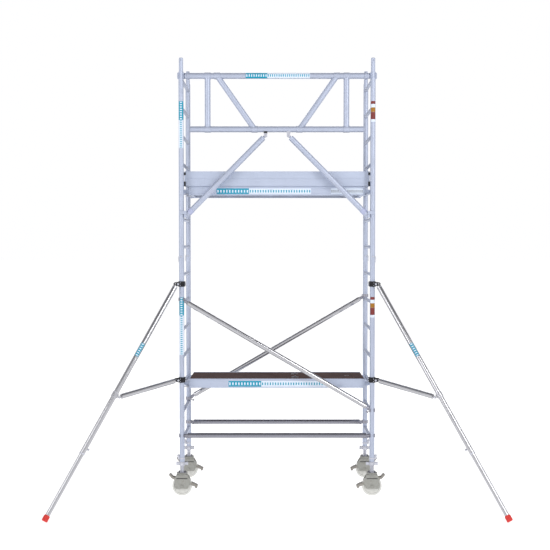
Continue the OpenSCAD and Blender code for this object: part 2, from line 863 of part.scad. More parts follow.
ladder_frame(-1, frame_base_z, false);  // lower_left_frame
ladder_frame(1, frame_base_z, false);  // lower_right_frame
ladder_frame(-1, joint_z, true);  // upper_left_frame
ladder_frame(1, joint_z, true);  // upper_right_frame
spigots();
at_corner(-1, front_y) joint_clip();  // clip_front_left
at_corner(1, front_y) joint_clip();  // clip_front_right
at_corner(-1, back_y) joint_clip();  // clip_back_left
at_corner(1, back_y) joint_clip();  // clip_back_right
stem_locks();
at_corner(-1, front_y) castor_nut();  // castor_fl_nut
at_corner(-1, front_y) castor_stem();  // castor_fl_stem
at_corner(-1, front_y) castor_fork();  // castor_fl_fork
at_corner(-1, front_y) castor_wheel();  // castor_fl_wheel
at_corner(-1, front_y) castor_brake();  // castor_fl_brake
at_corner(1, front_y) castor_nut();  // castor_fr_nut
at_corner(1, front_y) castor_stem();  // castor_fr_stem
at_corner(1, front_y) castor_fork();  // castor_fr_fork
at_corner(1, front_y) castor_wheel();  // castor_fr_wheel
at_corner(1, front_y) castor_brake();  // castor_fr_brake
at_corner(-1, back_y) castor_nut();  // castor_bl_nut
at_corner(-1, back_y) castor_stem();  // castor_bl_stem
at_corner(-1, back_y) castor_fork();  // castor_bl_fork
at_corner(-1, back_y) castor_wheel();  // castor_bl_wheel
at_corner(-1, back_y) castor_brake();  // castor_bl_brake
at_corner(1, back_y) castor_nut();  // castor_br_nut
at_corner(1, back_y) castor_stem();  // castor_br_stem
at_corner(1, back_y) castor_fork();  // castor_br_fork
at_corner(1, back_y) castor_wheel();  // castor_br_wheel
at_corner(1, back_y) castor_brake();  // castor_br_brake
platform_frame(lower_rung_z);  // lower_platform_frame
platform_deck(lower_rung_z);  // lower_platform_deck
platform_hatch(lower_rung_z);  // lower_platform_hatch
platform_windlock(lower_rung_z);  // lower_platform_windlock
platform_frame(upper_rung_z);  // upper_platform_frame
platform_deck(upper_rung_z);  // upper_platform_deck
platform_hatch(upper_rung_z);  // upper_platform_hatch
platform_windlock(upper_rung_z);  // upper_platform_windlock
toe_boards();
toe_board_brackets();
guardrail_frame();
guardrail_claws();
guardrail_hinges();
guardrail_strut(-1);  // guardrail_strut_left
guardrail_strut(1);  // guardrail_strut_right
horizontal_braces();
diagonal_braces();
brace_claws();
stabiliser_clamps(-1);  // stabiliser_left_clamps
stabiliser_tube(-1);  // stabiliser_left_tube
stabiliser_arm(-1);  // stabiliser_left_arm
stabiliser_leg(-1);  // stabiliser_left_leg
stabiliser_foot(-1);  // stabiliser_left_foot
stabiliser_button(-1);  // stabiliser_left_button
stabiliser_clamps(1);  // stabiliser_right_clamps
stabiliser_tube(1);  // stabiliser_right_tube
stabiliser_arm(1);  // stabiliser_right_arm
stabiliser_leg(1);  // stabiliser_right_leg
stabiliser_foot(1);  // stabiliser_right_foot
stabiliser_button(1);  // stabiliser_right_button
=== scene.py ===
"""Looks of the mobile tower scaffold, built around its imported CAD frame.

Shapes are drawn in millimetres in the frame's own axes, and piece() turns them into metres.
A shape that is repeated is drawn once, for the left or for its own middle, and placed by a matrix.
"""

import json
import math

import bmesh
import bpy
from mathutils import Matrix, Vector


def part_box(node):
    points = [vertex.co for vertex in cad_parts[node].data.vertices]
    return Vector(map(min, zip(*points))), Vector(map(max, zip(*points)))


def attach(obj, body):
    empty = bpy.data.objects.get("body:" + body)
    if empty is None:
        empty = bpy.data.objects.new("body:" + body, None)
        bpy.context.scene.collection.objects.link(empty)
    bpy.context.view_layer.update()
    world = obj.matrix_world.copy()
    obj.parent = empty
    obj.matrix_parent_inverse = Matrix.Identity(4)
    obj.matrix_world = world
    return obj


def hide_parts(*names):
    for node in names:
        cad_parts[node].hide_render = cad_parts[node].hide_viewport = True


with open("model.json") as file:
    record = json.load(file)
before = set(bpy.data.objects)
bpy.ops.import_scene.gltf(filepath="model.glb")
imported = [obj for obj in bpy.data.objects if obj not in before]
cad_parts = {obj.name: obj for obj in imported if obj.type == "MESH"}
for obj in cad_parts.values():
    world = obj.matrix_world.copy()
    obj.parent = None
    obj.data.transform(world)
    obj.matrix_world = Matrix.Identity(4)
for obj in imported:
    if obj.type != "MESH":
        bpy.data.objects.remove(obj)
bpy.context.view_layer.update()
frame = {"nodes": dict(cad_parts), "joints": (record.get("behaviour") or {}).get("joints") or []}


# ---------- measures, in millimetres, from the frame ----------

def box_mm(node):
    low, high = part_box(node)
    return low * 1000, high * 1000


frame_low, frame_high = box_mm("lower_left_frame")
TUBE_R = (frame_high.x - frame_low.x) / 2
HALF_LEN = -(frame_high.x + frame_low.x) / 2
FRONT_Y = frame_low.y + TUBE_R
BACK_Y = frame_high.y - TUBE_R
MID_Y = (FRONT_Y + BACK_Y) / 2
BASE_Z = frame_low.z
JOINT_Z = frame_high.z
RUNGS = 7  # on each frame
RUNG_R = 17
RUNG_PITCH = 280
FIRST_RUNG = 210
LOWER_RUNG_Z = BASE_Z + FIRST_RUNG + 2 * RUNG_PITCH
UPPER_RUNG_Z = JOINT_Z + FIRST_RUNG + 2 * RUNG_PITCH
CLIP_Z = JOINT_Z + 113
STEM_LOCK_Z = BASE_Z + 48

AXLE_Z = 100
HEAD_Z = 203  # underside of the fork's bridge
FLANGE_Z = 234  # top of the castor's flange
NUT_TOP = BASE_Z - 0.3
NUT_H = 41
STEM_R = 19
FORK_FACE = 35  # outer face of the fork's cheeks
CHEEK_T = 4
BRAKE_PIVOT = (13, 0, 151)

BEAM_H = 91
BEAM_FACE = 275  # outer face of the side beams, from the platform's middle
DECK_UP = 52  # deck's top above the rung's centre
BEAM_UP = DECK_UP + 2 - BEAM_H
DECK_T = 12
HALF_DECK = 244
HALF_PLATFORM = box_mm("lower_platform_deck")[1].x + 1
LOCK_X = 914
LOCK_DROP = 27  # wind lock's rod below the rung's centre
LOCK_FINGER_Y = 247
HATCH_X = 190
HATCH_LEN = 600
HOLE_X = HATCH_X + HATCH_LEN - 60  # finger hole
HINGE_Y = 120  # from the platform's middle
HINGE_UP = 7  # pins' axis over the deck
LEAF_T = 2.6

rail_low, rail_high = box_mm("guardrail_frame")
RAIL_R = 29.5
SADDLE_T = 4
TOP_RAIL_Z = rail_high.z - RAIL_R
KNEE_RAIL_Z = rail_low.z + RAIL_R
KNEE_RAIL_END = 864
POST_X = 694
POST_R = 28.5
DIAG_TOP_X = 598
DIAG_LOW_X = 225
RAIL_DIAG_R = 28
STRUT_R = 28
STRUT_HINGE_X = 115
STRUT_HINGE_Z = KNEE_RAIL_Z - RAIL_R - 32
STRUT_HOOK_X = 897
STRUT_HOOK_Z = 2842
STRUT_LEN = math.hypot(STRUT_HOOK_X - STRUT_HINGE_X, STRUT_HINGE_Z - STRUT_HOOK_Z)

STAB_ANGLE = 40
STAB_PIVOT = 62
CLAMP_H = 54
clamp_low, clamp_high = box_mm("stabiliser_left_clamps")
UPPER_CLAMP_Z = clamp_high.z - CLAMP_H / 2
LOWER_CLAMP_Z = clamp_low.z + CLAMP_H / 2
LEG_TILT = math.acos(-next(j["axis"][2] for j in frame["joints"] if j["name"] == "stabiliser_left_extend"))
FOOT_R = 30
FOOT_H = 62
LEG_LEN = (UPPER_CLAMP_Z - FOOT_R * math.sin(LEG_TILT)) / math.cos(LEG_TILT)
LEG_R = 25.4
INNER_LEG_R = 22.8
COLLAR_AT = LEG_LEN * 0.49
COLLAR_ARM = 48
BUTTON_AT = LEG_LEN * 0.71
OUTER_TUBE_END = LEG_LEN * 0.735

SIDES = {"left": -1, "right": 1}
CORNERS = {"fl": (-1, FRONT_Y), "fr": (1, FRONT_Y), "bl": (-1, BACK_Y), "br": (1, BACK_Y)}


# ---------- placing ----------

def move(x, y, z):
    return Matrix.Translation((x, y, z))


def turn(degrees, axis):
    return Matrix.Rotation(math.radians(degrees), 4, axis)


IDENTITY = Matrix.Identity(4)
MIRROR_X = Matrix.Scale(-1, 4, (1, 0, 0))
MIRROR_Y = Matrix.Scale(-1, 4, (0, 1, 0))
FACES = (IDENTITY, MIRROR_Y)  # for a shape drawn on the -Y side, and its image on the +Y side
ALONG_Y = turn(90, "X")  # turns a shape's +Z to -Y


def facing(s):
    """Turns a shape's +Z to -Y, or to +Y when s is 1."""
    return turn(-90 * s, "X")


def at_side(side):
    return MIRROR_X if side > 0 else IDENTITY


def at_corner(side, y):
    return at_side(side) @ move(-HALF_LEN, y, 0)


def at_stabiliser(side):
    return at_corner(side, FRONT_Y) @ turn(STAB_ANGLE, "Z") @ MIRROR_X


def at_leg(side):
    """The leg's own axes: the origin on its pivot, +Z down along the leg."""
    pivot = at_stabiliser(side) @ move(STAB_PIVOT, 0, UPPER_CLAMP_Z)
    return pivot @ turn(180 - math.degrees(LEG_TILT), "Y")


def along(start, end):
    """Axes with the origin on start and +Z towards end."""
    ray = Vector(end) - Vector(start)
    return Matrix.Translation(start) @ ray.to_track_quat("Z", "Y").to_matrix().to_4x4()


# ---------- shapes, each added to a bmesh ----------

def skin(bm, rings, closed=False):
    """Faces between rings of equal counts of points; closed joins the last ring to the first."""
    made = [[bm.verts.new(p) for p in ring] for ring in rings]
    count = len(made[0])
    pairs = list(zip(made, made[1:]))
    if closed:
        pairs.append((made[-1], made[0]))
    else:
        bm.faces.new(reversed(made[0]))
        bm.faces.new(made[-1])
    for a, b in pairs:
        for i in range(count):
            j = (i + 1) % count
            bm.faces.new((a[i], a[j], b[j], b[i]))


def lathe(bm, profile, at=IDENTITY, segments=40, closed=False):
    """Turns (radius, height) points about +Z. A closed profile makes a ring, an open one is capped."""
    angles = [math.tau * i / segments for i in range(segments)]
    rings = [[at @ Vector((r * math.cos(a), r * math.sin(a), z)) for a in angles] for r, z in profile]
    skin(bm, rings, closed)


def disc(bm, radius, low, high, at=IDENTITY, edge=1.0, segments=32):
    """A round plate or pin with rounded edges."""
    steps = [(radius - edge * (1 - math.sin(a)), edge * (1 - math.cos(a)))
             for a in map(math.radians, (0, 30, 60, 90))]
    profile = [(r, low + dz) for r, dz in steps] + [(r, high - dz) for r, dz in reversed(steps)]
    lathe(bm, profile, at, segments)


def collar(bm, inner, outer, low, high, at=IDENTITY, edge=1.0, segments=40):
    """A ring with chamfered edges."""
    lathe(bm, [(inner, low + edge), (inner + edge, low), (outer - edge, low), (outer, low + edge),
               (outer, high - edge), (outer - edge, high), (inner + edge, high), (inner, high - edge)],
          at, segments, closed=True)


def rounded(points, radius, steps=4):
    """Rounds the corners of a polygon."""
    outline = []
    for i, point in enumerate(points):
        here = Vector(point)
        back = Vector(points[i - 1]) - here
        ahead = Vector(points[(i + 1) % len(points)]) - here
        cut = min(radius, back.length * 0.45, ahead.length * 0.45)
        a = here + back.normalized() * cut
        b = here + ahead.normalized() * cut
        for t in (k / steps for k in range(steps + 1)):
            p = a * (1 - t) ** 2 + here * 2 * t * (1 - t) + b * t ** 2
            outline.append((p.x, p.y))
    return outline


def shrunk(outline, by):
    """The outline moved inward by a small distance."""
    area = sum(a[0] * b[1] - b[0] * a[1] for a, b in zip(outline, outline[1:] + outline[:1]))
    inward = by if area > 0 else -by
    result = []
    for i, (x, y) in enumerate(outline):
        run = (Vector(outline[(i + 1) % len(outline)]) - Vector(outline[i - 1])).normalized()
        result.append((x - run.y * inward, y + run.x * inward))
    return result


def plate(bm, outline, low, high, at=IDENTITY, edge=1.0):
    """A flat plate between two heights along +Z, with softened edges."""
    inner = shrunk(outline, edge)
    layers = [(inner, low), (outline, low + edge), (outline, high - edge), (inner, high)]
    skin(bm, [[at @ Vector((x, y, z)) for x, y in points] for points, z in layers])


def block(bm, low, high, at=IDENTITY, corner=2.0, edge=1.0):
    """A box between two corners with its edges softened."""
    (x0, y0, z0), (x1, y1, z1) = low, high
    plate(bm, rounded([(x0, y0), (x1, y0), (x1, y1), (x0, y1)], corner, 3), z0, z1, at, edge)


def sweep(bm, path, radius, segments=10, at=IDENTITY, closed=False):
    """A round bar that follows a path; radius is a number or a function of the path's index."""
    points = [at @ Vector(p) for p in path]
    count = len(points)
    angles = [math.tau * k / segments for k in range(segments)]
    side = None
    rings = []
    for i, p in enumerate(points):
        ahead = points[(i + 1) % count] if closed or i < count - 1 else p
        behind = points[i - 1] if closed or i > 0 else p
        run = (ahead - behind).normalized()
        if side is None:
            side = run.orthogonal().normalized()
        side = (side - run * side.dot(run)).normalized()
        other = run.cross(side)
        r = radius(i) if callable(radius) else radius
        rings.append([p + (side * math.cos(a) + other * math.sin(a)) * r for a in angles])
    skin(bm, rings, closed)


def arc(centre, radius, first, last, plane="xy", steps=12):
    """Points of an arc, in degrees, in the xy or the yz plane."""
    points = []
    for i in range(steps + 1):
        a = math.radians(first + (last - first) * i / steps)
        u, v = radius * math.cos(a), radius * math.sin(a)
        points.append(Vector(centre) + Vector((u, v, 0) if plane == "xy" else (0, u, v)))
    return points


def hex_head(bm, across, height, at):
    """A hexagon bolt head or nut on its washer, standing on z = 0."""
    washer = 1.6
    hexagon = rounded(arc((0, 0, 0), across / 2, 0, 300, steps=5), 0.8, 2)
    disc(bm, across * 0.62, 0, washer, at, edge=0.4, segments=24)
    plate(bm, hexagon, washer, height - across * 0.06, at, edge=across * 0.05)
    disc(bm, across * 0.40, height - across * 0.08, height, at, edge=0.5, segments=18)


def dome_head(bm, radius, height, at):
    """A rivet's or screw's round head, standing on z = 0."""
    sunk = 0.4
    dome = [(radius * math.cos(a), height * math.sin(a)) for a in map(math.radians, (0, 25, 50, 75, 88))]
    lathe(bm, [(radius, -sunk)] + dome, at, 18)


def weld(bm, start, direction, tube_r, post, post_dir, post_r):
    """A weld bead where a tube from start along direction meets a round post."""
    bead, segments = 2.2, 36
    u = Vector(direction).normalized()
    a = Vector(post_dir).normalized()
    first = u.orthogonal().normalized()
    second = u.cross(first)
    across = u - a * u.dot(a)
    path = []
    for angle in (math.tau * i / segments for i in range(segments)):
        q = Vector(start) + (first * math.cos(angle) + second * math.sin(angle)) * (tube_r + bead * 0.2)
        w = q - Vector(post)
        w -= a * w.dot(a)
        k_a, k_b, k_c = across.dot(across), w.dot(across), w.dot(w) - (post_r + bead * 0.2) ** 2
        root = math.sqrt(max(k_b * k_b - k_a * k_c, 0))
        path.append(q + u * ((-k_b - root) / k_a))
    sweep(bm, path, lambda i: bead * (1 + 0.14 * math.sin(i * math.tau / 3)), 6, closed=True)


# ---------- pieces ----------

FINISH = {}  # each finished material, by name


def piece(name, draw, finish, body="tower", replaces=None, at=IDENTITY):
    """A finished piece that rides on a body: draw adds its shapes to a bmesh, finish names its material,
    and replaces names the CAD node that it stands for."""
    bm = bmesh.new()
    draw(bm)
    bm.transform(at)
    bmesh.ops.remove_doubles(bm, verts=bm.verts, dist=0.001)
    bmesh.ops.recalc_face_normals(bm, faces=bm.faces)
    bm.transform(Matrix.Scale(0.001, 4))
    mesh = bpy.data.meshes.new(name)
    bm.to_mesh(mesh)
    bm.free()
    mesh.polygons.foreach_set("use_smooth", [True] * len(mesh.polygons))
    mesh.set_sharp_from_angle(angle=math.radians(35))
    mesh.materials.append(FINISH[finish])
    made = bpy.data.objects.new(name, mesh)
    bpy.context.scene.collection.objects.link(made)
    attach(made, body)
    if replaces:
        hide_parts(replaces)


def dress(finish, *nodes):
    """Gives CAD nodes whose shape is right their finished material."""
    for name in nodes:
        mesh = frame["nodes"][name].data
        mesh.materials.clear()
        mesh.materials.append(FINISH[finish])
        mesh.polygons.foreach_set("material_index", [0] * len(mesh.polygons))


# ---------- materials ----------

class Graph:
    """Short ways to add nodes to a node tree."""

    def __init__(self, tree):
        self.nodes, self.links = tree.nodes, tree.links

    def feed(self, socket, value):
        """Links another node's output to a socket, or sets the socket's own value."""
        if isinstance(value, bpy.types.NodeSocket):
            self.links.new(value, socket)
        else:
            socket.default_value = value

    def node(self, kind, **inputs):
        """A new node; each keyword names an input, with _ for a space."""
        node = self.nodes.new("ShaderNode" + kind)
        for name, value in inputs.items():
            self.feed(node.inputs[name.replace("_", " ")], value)
        return node

    def ramp(self, value, low, high, start=0.0, end=1.0):
        """The value's part between low and high, spread from start to end."""
        spread = self.node("MapRange", Value=value, From_Min=low, From_Max=high, To_Min=start, To_Max=end)
        return spread.outputs["Result"]

    def maths(self, operation, a, b):
        node = self.node("Math")
        node.operation = operation
        self.feed(node.inputs[0], a)
        self.feed(node.inputs[1], b)
        return node.outputs["Value"]

    def mixed(self, factor, a, b):
        """A colour between a and b."""
        mix = self.node("Mix")
        mix.data_type = "RGBA"
        for name, value in (("Factor", factor), ("A", a), ("B", b)):
            self.feed(mix.inputs[name], value)
        return mix.outputs["Result"]


class Finish(Graph):
    """A procedural material that is put together from a few layers."""

    def __init__(self, name, colour, metallic, roughness, **sockets):
        FINISH[name] = bpy.data.materials.new(name)
        FINISH[name].use_nodes = True
        super().__init__(FINISH[name].node_tree)
        self.shader = self.nodes["Principled BSDF"]
        self.tint, self.rough, self.height = (*colour, 1), roughness, None
        sockets.update(Base_Color=self.tint, Metallic=metallic, Roughness=roughness)
        for socket, value in sockets.items():
            self.shader.inputs[socket.replace("_", " ")].default_value = value
        self.place = self.node("TexCoord").outputs["Object"]

    def noise(self, scale, detail, stretch=(1, 1, 1), tilt=(0, 0, 0), seed=0.0):
        """Noise over the surface, stretched along an axis for a drawn grain."""
        place = self.node("Mapping", Vector=self.place, Scale=stretch,
                          Rotation=[math.radians(a) for a in tilt], Location=(seed, seed * 0.7, seed * 0.3))
        texture = self.node("TexNoise", Vector=place.outputs["Vector"], Scale=scale, Detail=detail)
        return texture.outputs["Fac"]

    def tinted(self, mask, colour, strength=1.0):
        """Mixes another colour in where the mask is high."""
        if strength < 1:
            mask = self.maths("MULTIPLY", mask, strength)
        self.tint = self.mixed(mask, self.tint, (*colour, 1))

    def roughened(self, mask, amount):
        """Adds to the roughness where the mask is high."""
        self.rough = self.maths("ADD", self.maths("MULTIPLY", mask, amount), self.rough)

    def raised(self, mask, depth):
        """A small relief, in metres."""
        self.height = self.maths("MULTIPLY", mask, depth)

    def done(self):
        self.feed(self.shader.inputs["Base Color"], self.tint)
        self.feed(self.shader.inputs["Roughness"], self.rough)
        if self.height is not None:
            bump = self.node("Bump", Height=self.height, Distance=1.0)
            self.feed(self.shader.inputs["Normal"], bump.outputs["Normal"])


def darker(colour, share, lift=0.0):
    return [c * share + lift for c in colour]


def aluminium(name, colour, roughness, metallic=1.0, tilt=(0, 0, 0), grain=0.00002, wear=1.0):
    """Extruded or drawn tube: a fine grain along its length, faint clouding and scuffs."""
    finish = Finish(name, colour, metallic, roughness, Specular_IOR_Level=0.5)
    cloud = finish.ramp(finish.noise(5, 2, seed=1.0), 0.35, 0.70)
    lines = finish.noise(1.0, 2, stretch=(900, 900, 9), tilt=tilt, seed=5.0)
    scuffs = finish.ramp(finish.noise(1.0, 4, stretch=(70, 70, 14), tilt=tilt, seed=9.0), 0.63, 0.74)
    finish.tinted(cloud, darker(colour, 0.94))
    finish.tinted(finish.ramp(lines, 0.45, 0.75, 0, 0.30), darker(colour, 0.82))
    finish.tinted(scuffs, darker(colour, 0.70), 0.35 * wear)
    finish.roughened(finish.ramp(lines, 0.3, 0.7), 0.07 * wear)
    finish.roughened(scuffs, 0.12 * wear)
    finish.raised(lines, grain)
    finish.done()


def zinc(name, colour, roughness):
    """Zinc-plated steel with a faint spangle."""
    finish = Finish(name, colour, 1.0, roughness)
    spangle = finish.ramp(finish.noise(420, 2, seed=2.0), 0.35, 0.65)
    stains = finish.ramp(finish.noise(24, 4, seed=7.0), 0.55, 0.75)
    finish.tinted(spangle, darker(colour, 0.86))
    finish.tinted(stains, darker(colour, 0.66), 0.5)
    finish.roughened(spangle, 0.10)
    finish.roughened(stains, 0.15)
    finish.raised(spangle, 0.00003)
    finish.done()


def coated(name, colour, roughness, bare, dust_lift=0.03, **sockets):
    """Powder coat or plate: orange peel, dust, and edges rubbed through in patches."""
    finish = Finish(name, colour, 0.0, roughness, **sockets)
    dust = finish.ramp(finish.noise(30, 4, seed=6.0), 0.48, 0.75)
    edges = finish.ramp(finish.node("NewGeometry").outputs["Pointiness"], 0.53, 0.60)
    patches = finish.ramp(finish.noise(60, 4, seed=3.0), 0.42, 0.62)
    finish.tinted(dust, darker(colour, 0.75, dust_lift), 0.4)
    finish.tinted(finish.maths("MULTIPLY", edges, patches), bare, 0.6)
    finish.roughened(dust, 0.15)
    finish.raised(finish.noise(700, 2, seed=4.0), 0.00005)
    finish.done()


def moulded(name, colour, roughness, speckle=0.9, **sockets):
    """Moulded plastic or rubber with a fine matt texture and handling marks."""
    finish = Finish(name, colour, 0.0, roughness, **sockets)
    marks = finish.ramp(finish.noise(45, 5, seed=2.5), 0.52, 0.72)
    finish.tinted(marks, darker(colour, speckle), 0.5)
    finish.roughened(marks, 0.14)
    finish.raised(finish.noise(900, 2, seed=8.0), 0.00005)
    finish.done()


def plywood(name):
    """Brown film-faced plywood: a pressed wire-mesh pattern on its faces, and plies on its edges."""
    finish = Finish(name, (0.054, 0.025, 0.022), 0.0, 0.72, Specular_IOR_Level=0.15)
    spots = finish.ramp(finish.noise(14, 5, seed=1.5), 0.42, 0.70)
    scratches = finish.ramp(finish.noise(1.0, 3, stretch=(8, 160, 8), seed=4.5), 0.64, 0.72)
    normal = finish.node("SeparateXYZ", Vector=finish.node("NewGeometry").outputs["Normal"])
    on_edge = finish.ramp(finish.maths("ABSOLUTE", normal.outputs["Z"], 0), 0.8, 0.4)
    plies = finish.node("TexWave", Vector=finish.place, Scale=130, Distortion=0.6)
    plies.bands_direction = "Z"
    waves = []
    for degrees in (45, -45):
        across = finish.node("Mapping", Vector=finish.place, Rotation=(0, 0, math.radians(degrees)))
        waves.append(finish.node("TexWave", Vector=across.outputs["Vector"], Scale=48).outputs["Fac"])
    mesh_mask = finish.maths("MULTIPLY", *waves)
    finish.tinted(spots, (0.078, 0.040, 0.034))
    finish.tinted(scratches, (0.19, 0.12, 0.09), 0.45)
    finish.tinted(on_edge, (0.30, 0.19, 0.11))
    finish.tinted(finish.maths("MULTIPLY", on_edge, finish.ramp(plies.outputs["Fac"], 0.4, 0.6)),
                  (0.12, 0.065, 0.04))
    finish.roughened(mesh_mask, 0.16)
    finish.roughened(scratches, 0.15)
    finish.raised(mesh_mask, 0.0002)
    finish.done()


def make_finishes():
    lavender, beam_blue = (0.41, 0.45, 0.56), (0.44, 0.49, 0.61)
    # The second colour on the next line is the bright one darkened: painted shade for the horizontal braces,
    # which are the same bright aluminium
    bright, shaded_bright = (0.46, 0.46, 0.48), (0.27, 0.27, 0.31)
    lengthwise = {"tilt": (0, 90, 0)}
    polished = {"grain": 0.000003, "wear": 0.3}
    matt = {"Specular_IOR_Level": 0.2}
    aluminium("frame_aluminium", lavender, 0.42, 0.45)
    aluminium("rung_grain", lavender, 0.42, 0.45, tilt=(90, 0, 0))
    aluminium("beam_aluminium", beam_blue, 0.46, 0.45, **lengthwise)
    aluminium("rail_aluminium", lavender, 0.40, 0.40, **lengthwise)
    aluminium("brace_aluminium", bright, 0.13, **lengthwise, **polished)
    aluminium("shaded_bright_aluminium", shaded_bright, 0.20, **lengthwise, **polished)
    aluminium("leg_aluminium", bright, 0.12, tilt=(0, 35, 0), **polished)
    zinc("claw_cast", (0.34, 0.34, 0.39), 0.42)
    zinc("zinc_steel", (0.56, 0.57, 0.63), 0.34)
    zinc("dark_steel", (0.22, 0.22, 0.24), 0.36)
    coated("castor_plate", (0.27, 0.27, 0.245), 0.42, (0.42, 0.42, 0.42))
    coated("pedal_steel", (0.23, 0.215, 0.19), 0.45, (0.40, 0.39, 0.37))
    coated("clamp_black", (0.009, 0.009, 0.012), 0.42, (0.06, 0.06, 0.065), 0.012, Specular_IOR_Level=0.15)
    moulded("wheel_plastic", (0.60, 0.60, 0.57), 0.33, 0.88)
    moulded("bracket_black", (0.018, 0.018, 0.020), 0.5, 1.8)
    moulded("foot_red", (0.60, 0.032, 0.024), 0.48, 0.75)
    moulded("label_teal", (0.010, 0.27, 0.40), 0.35, **matt)
    moulded("label_pale", (0.62, 0.69, 0.79), 0.35, 0.93)
    moulded("label_orange", (0.33, 0.15, 0.018), 0.35, **matt)
    moulded("label_red", (0.185, 0.036, 0.034), 0.35, **matt)
    moulded("latch_grey", (0.36, 0.39, 0.55), 0.4)
    plywood("plywood")


# ---------- camera, floor and light ----------

CAMERA_BACK = 9.5438  # from the camera to the front uprights' plane
CAMERA_UP = 2.5313
CAMERA_ASIDE = -0.0204
CAMERA_PITCH = 0.03132  # downward, in radians
CAMERA_LENS = 62.12  # mm on a 36 mm sensor


def make_camera():
    data = bpy.data.cameras.new("camera")
    data.sensor_width = 36
    data.lens = CAMERA_LENS
    camera = bpy.data.objects.new("camera", data)
    camera.location = (CAMERA_ASIDE, FRONT_Y / 1000 - CAMERA_BACK, CAMERA_UP)
    camera.rotation_euler = (math.pi / 2 - CAMERA_PITCH, 0, 0)
    bpy.context.scene.collection.objects.link(camera)
    bpy.context.scene.camera = camera


def make_floor():
    """A plain white floor that glows a little, so that it meets the white sky without a line."""
    reach = 150.0
    mesh = bpy.data.meshes.new("floor")
    corners = [(-reach, -reach, 0), (reach, -reach, 0), (reach, reach, 0), (-reach, reach, 0)]
    mesh.from_pydata(corners, [], [(0, 1, 2, 3)])
    floor = bpy.data.objects.new("floor", mesh)
    glow = {"Emission_Color": (1, 1, 1, 1), "Emission_Strength": 0.56}
    finish = Finish("floor", (0.86, 0.86, 0.86), 0.0, 0.9, **glow)
    finish.tinted(finish.ramp(finish.noise(0.8, 2), 0.4, 0.7), (0.88, 0.88, 0.88))
    finish.done()
    mesh.materials.append(FINISH["floor"])
    bpy.context.scene.collection.objects.link(floor)


def make_sky():
    """Soft white light from all round, under a dark ceiling that gives bright tubes their lines."""
    world = bpy.data.worlds.new("studio")
    bpy.context.scene.world = world
    world.use_nodes = True
    sky = Graph(world.node_tree)
    way = sky.node("SeparateXYZ", Vector=sky.node("TexCoord").outputs["Generated"]).outputs
    height = sky.node("ValToRGB", Fac=sky.ramp(way["Z"], -1, 1))
    levels = height.color_ramp.elements
    levels[1].color = levels[0].color = (1, 1, 1.02, 1)
    levels[1].position = 0.80
    for position, level in ((0.85, 0.28), (0.96, 0.22), (0.985, 0.6)):
        levels.new(position).color = (level, level, level * 1.02, 1)
    # Tubes' edges mirror a dark screen behind the tower; the camera itself sees plain white there
    behind = sky.ramp(way["Y"], 0.72, 0.92)
    unseen = sky.maths("SUBTRACT", 1.0, sky.node("LightPath").outputs["Is Camera Ray"])
    screen = sky.mixed(sky.maths("MULTIPLY", behind, unseen), height.outputs["Color"], (0.12, 0.12, 0.15, 1))
    sky.feed(sky.nodes["Background"].inputs["Color"], screen)


def make_light(name, place, aim, size, power):
    data = bpy.data.lights.new(name, "AREA")
    data.shape = "RECTANGLE"
    data.size, data.size_y = size
    data.energy = power
    light = bpy.data.objects.new(name, data)
    light.matrix_world = along(place, 2 * Vector(place) - Vector(aim))
    bpy.context.scene.collection.objects.link(light)


def make_studio():
    make_camera()
    make_floor()
    make_sky()
    middle = (0, MID_Y / 1000, 2.0)
    make_light("key", (5.5, -7.5, 6.5), middle, (1.6, 5), 300)
    make_light("fill", (-6.5, -6.5, 4.5), middle, (1.6, 6), 160)
    make_light("back", (0, 8.5, 8.0), middle, (9, 4), 260)
    bpy.context.scene.view_settings.view_transform = "Standard"


# ---------- ladder frames ----------

def ladder_welds(bm, x, base):
    """Weld beads round both ends of each rung."""
    for z in (base + FIRST_RUNG + i * RUNG_PITCH for i in range(RUNGS)):
        for y, run in ((FRONT_Y, -1), (BACK_Y, 1)):
            weld(bm, (x, MID_Y, z), (0, run, 0), RUNG_R, (x, y, z), (0, 0, 1), TUBE_R)


def frame_rims(bm, x, base):
    """A rolled rim at each upright's lower end."""
    for y in (FRONT_Y, BACK_Y):
        collar(bm, TUBE_R - 1.2, TUBE_R + 0.6, base + 0.2, base + 5, move(x, y, 0), edge=0.5)


def make_frames():
    for level, base in (("lower", BASE_Z), ("upper", JOINT_Z)):
        for name, side in SIDES.items():
            prefix, x = f"{level}_{name}", side * HALF_LEN
            dress("frame_aluminium", f"{prefix}_frame")
            piece(f"{prefix}_rung_welds", lambda bm: ladder_welds(bm, x, base), "rung_grain")
            piece(f"{prefix}_frame_rims", lambda bm: frame_rims(bm, x, base), "frame_aluminium")
    dress("frame_aluminium", "spigots")


def joint_clip(bm):
    """A lock pin with a round head, and a spring wire half-way round the tube."""
    wrap_r = TUBE_R + 5.5
    disc(bm, 4, -wrap_r, wrap_r - 1, ALONG_Y, edge=0.8)
    disc(bm, 7.5, wrap_r - 2.5, wrap_r + 2.5, ALONG_Y, edge=1.5)
    wire = [(0, -wrap_r, 0)] + arc((0, 0, 0), wrap_r, 258, 180, steps=10)
    wire += [(-wrap_r, 0, -z) for z in (6, 20, 40, 52)]
    wire += arc((-wrap_r, 5, -52), 5, 180, 330, "yz", 8)
    sweep(bm, wire, 2.4)


def make_clips():
    for row, y in (("front", FRONT_Y), ("back", BACK_Y)):
        for name, side in SIDES.items():
            node = f"clip_{row}_{name}"
            piece(f"{node}_wire", joint_clip, "zinc_steel", node, replaces=node,
                  at=at_corner(side, y) @ move(0, 0, CLIP_Z))


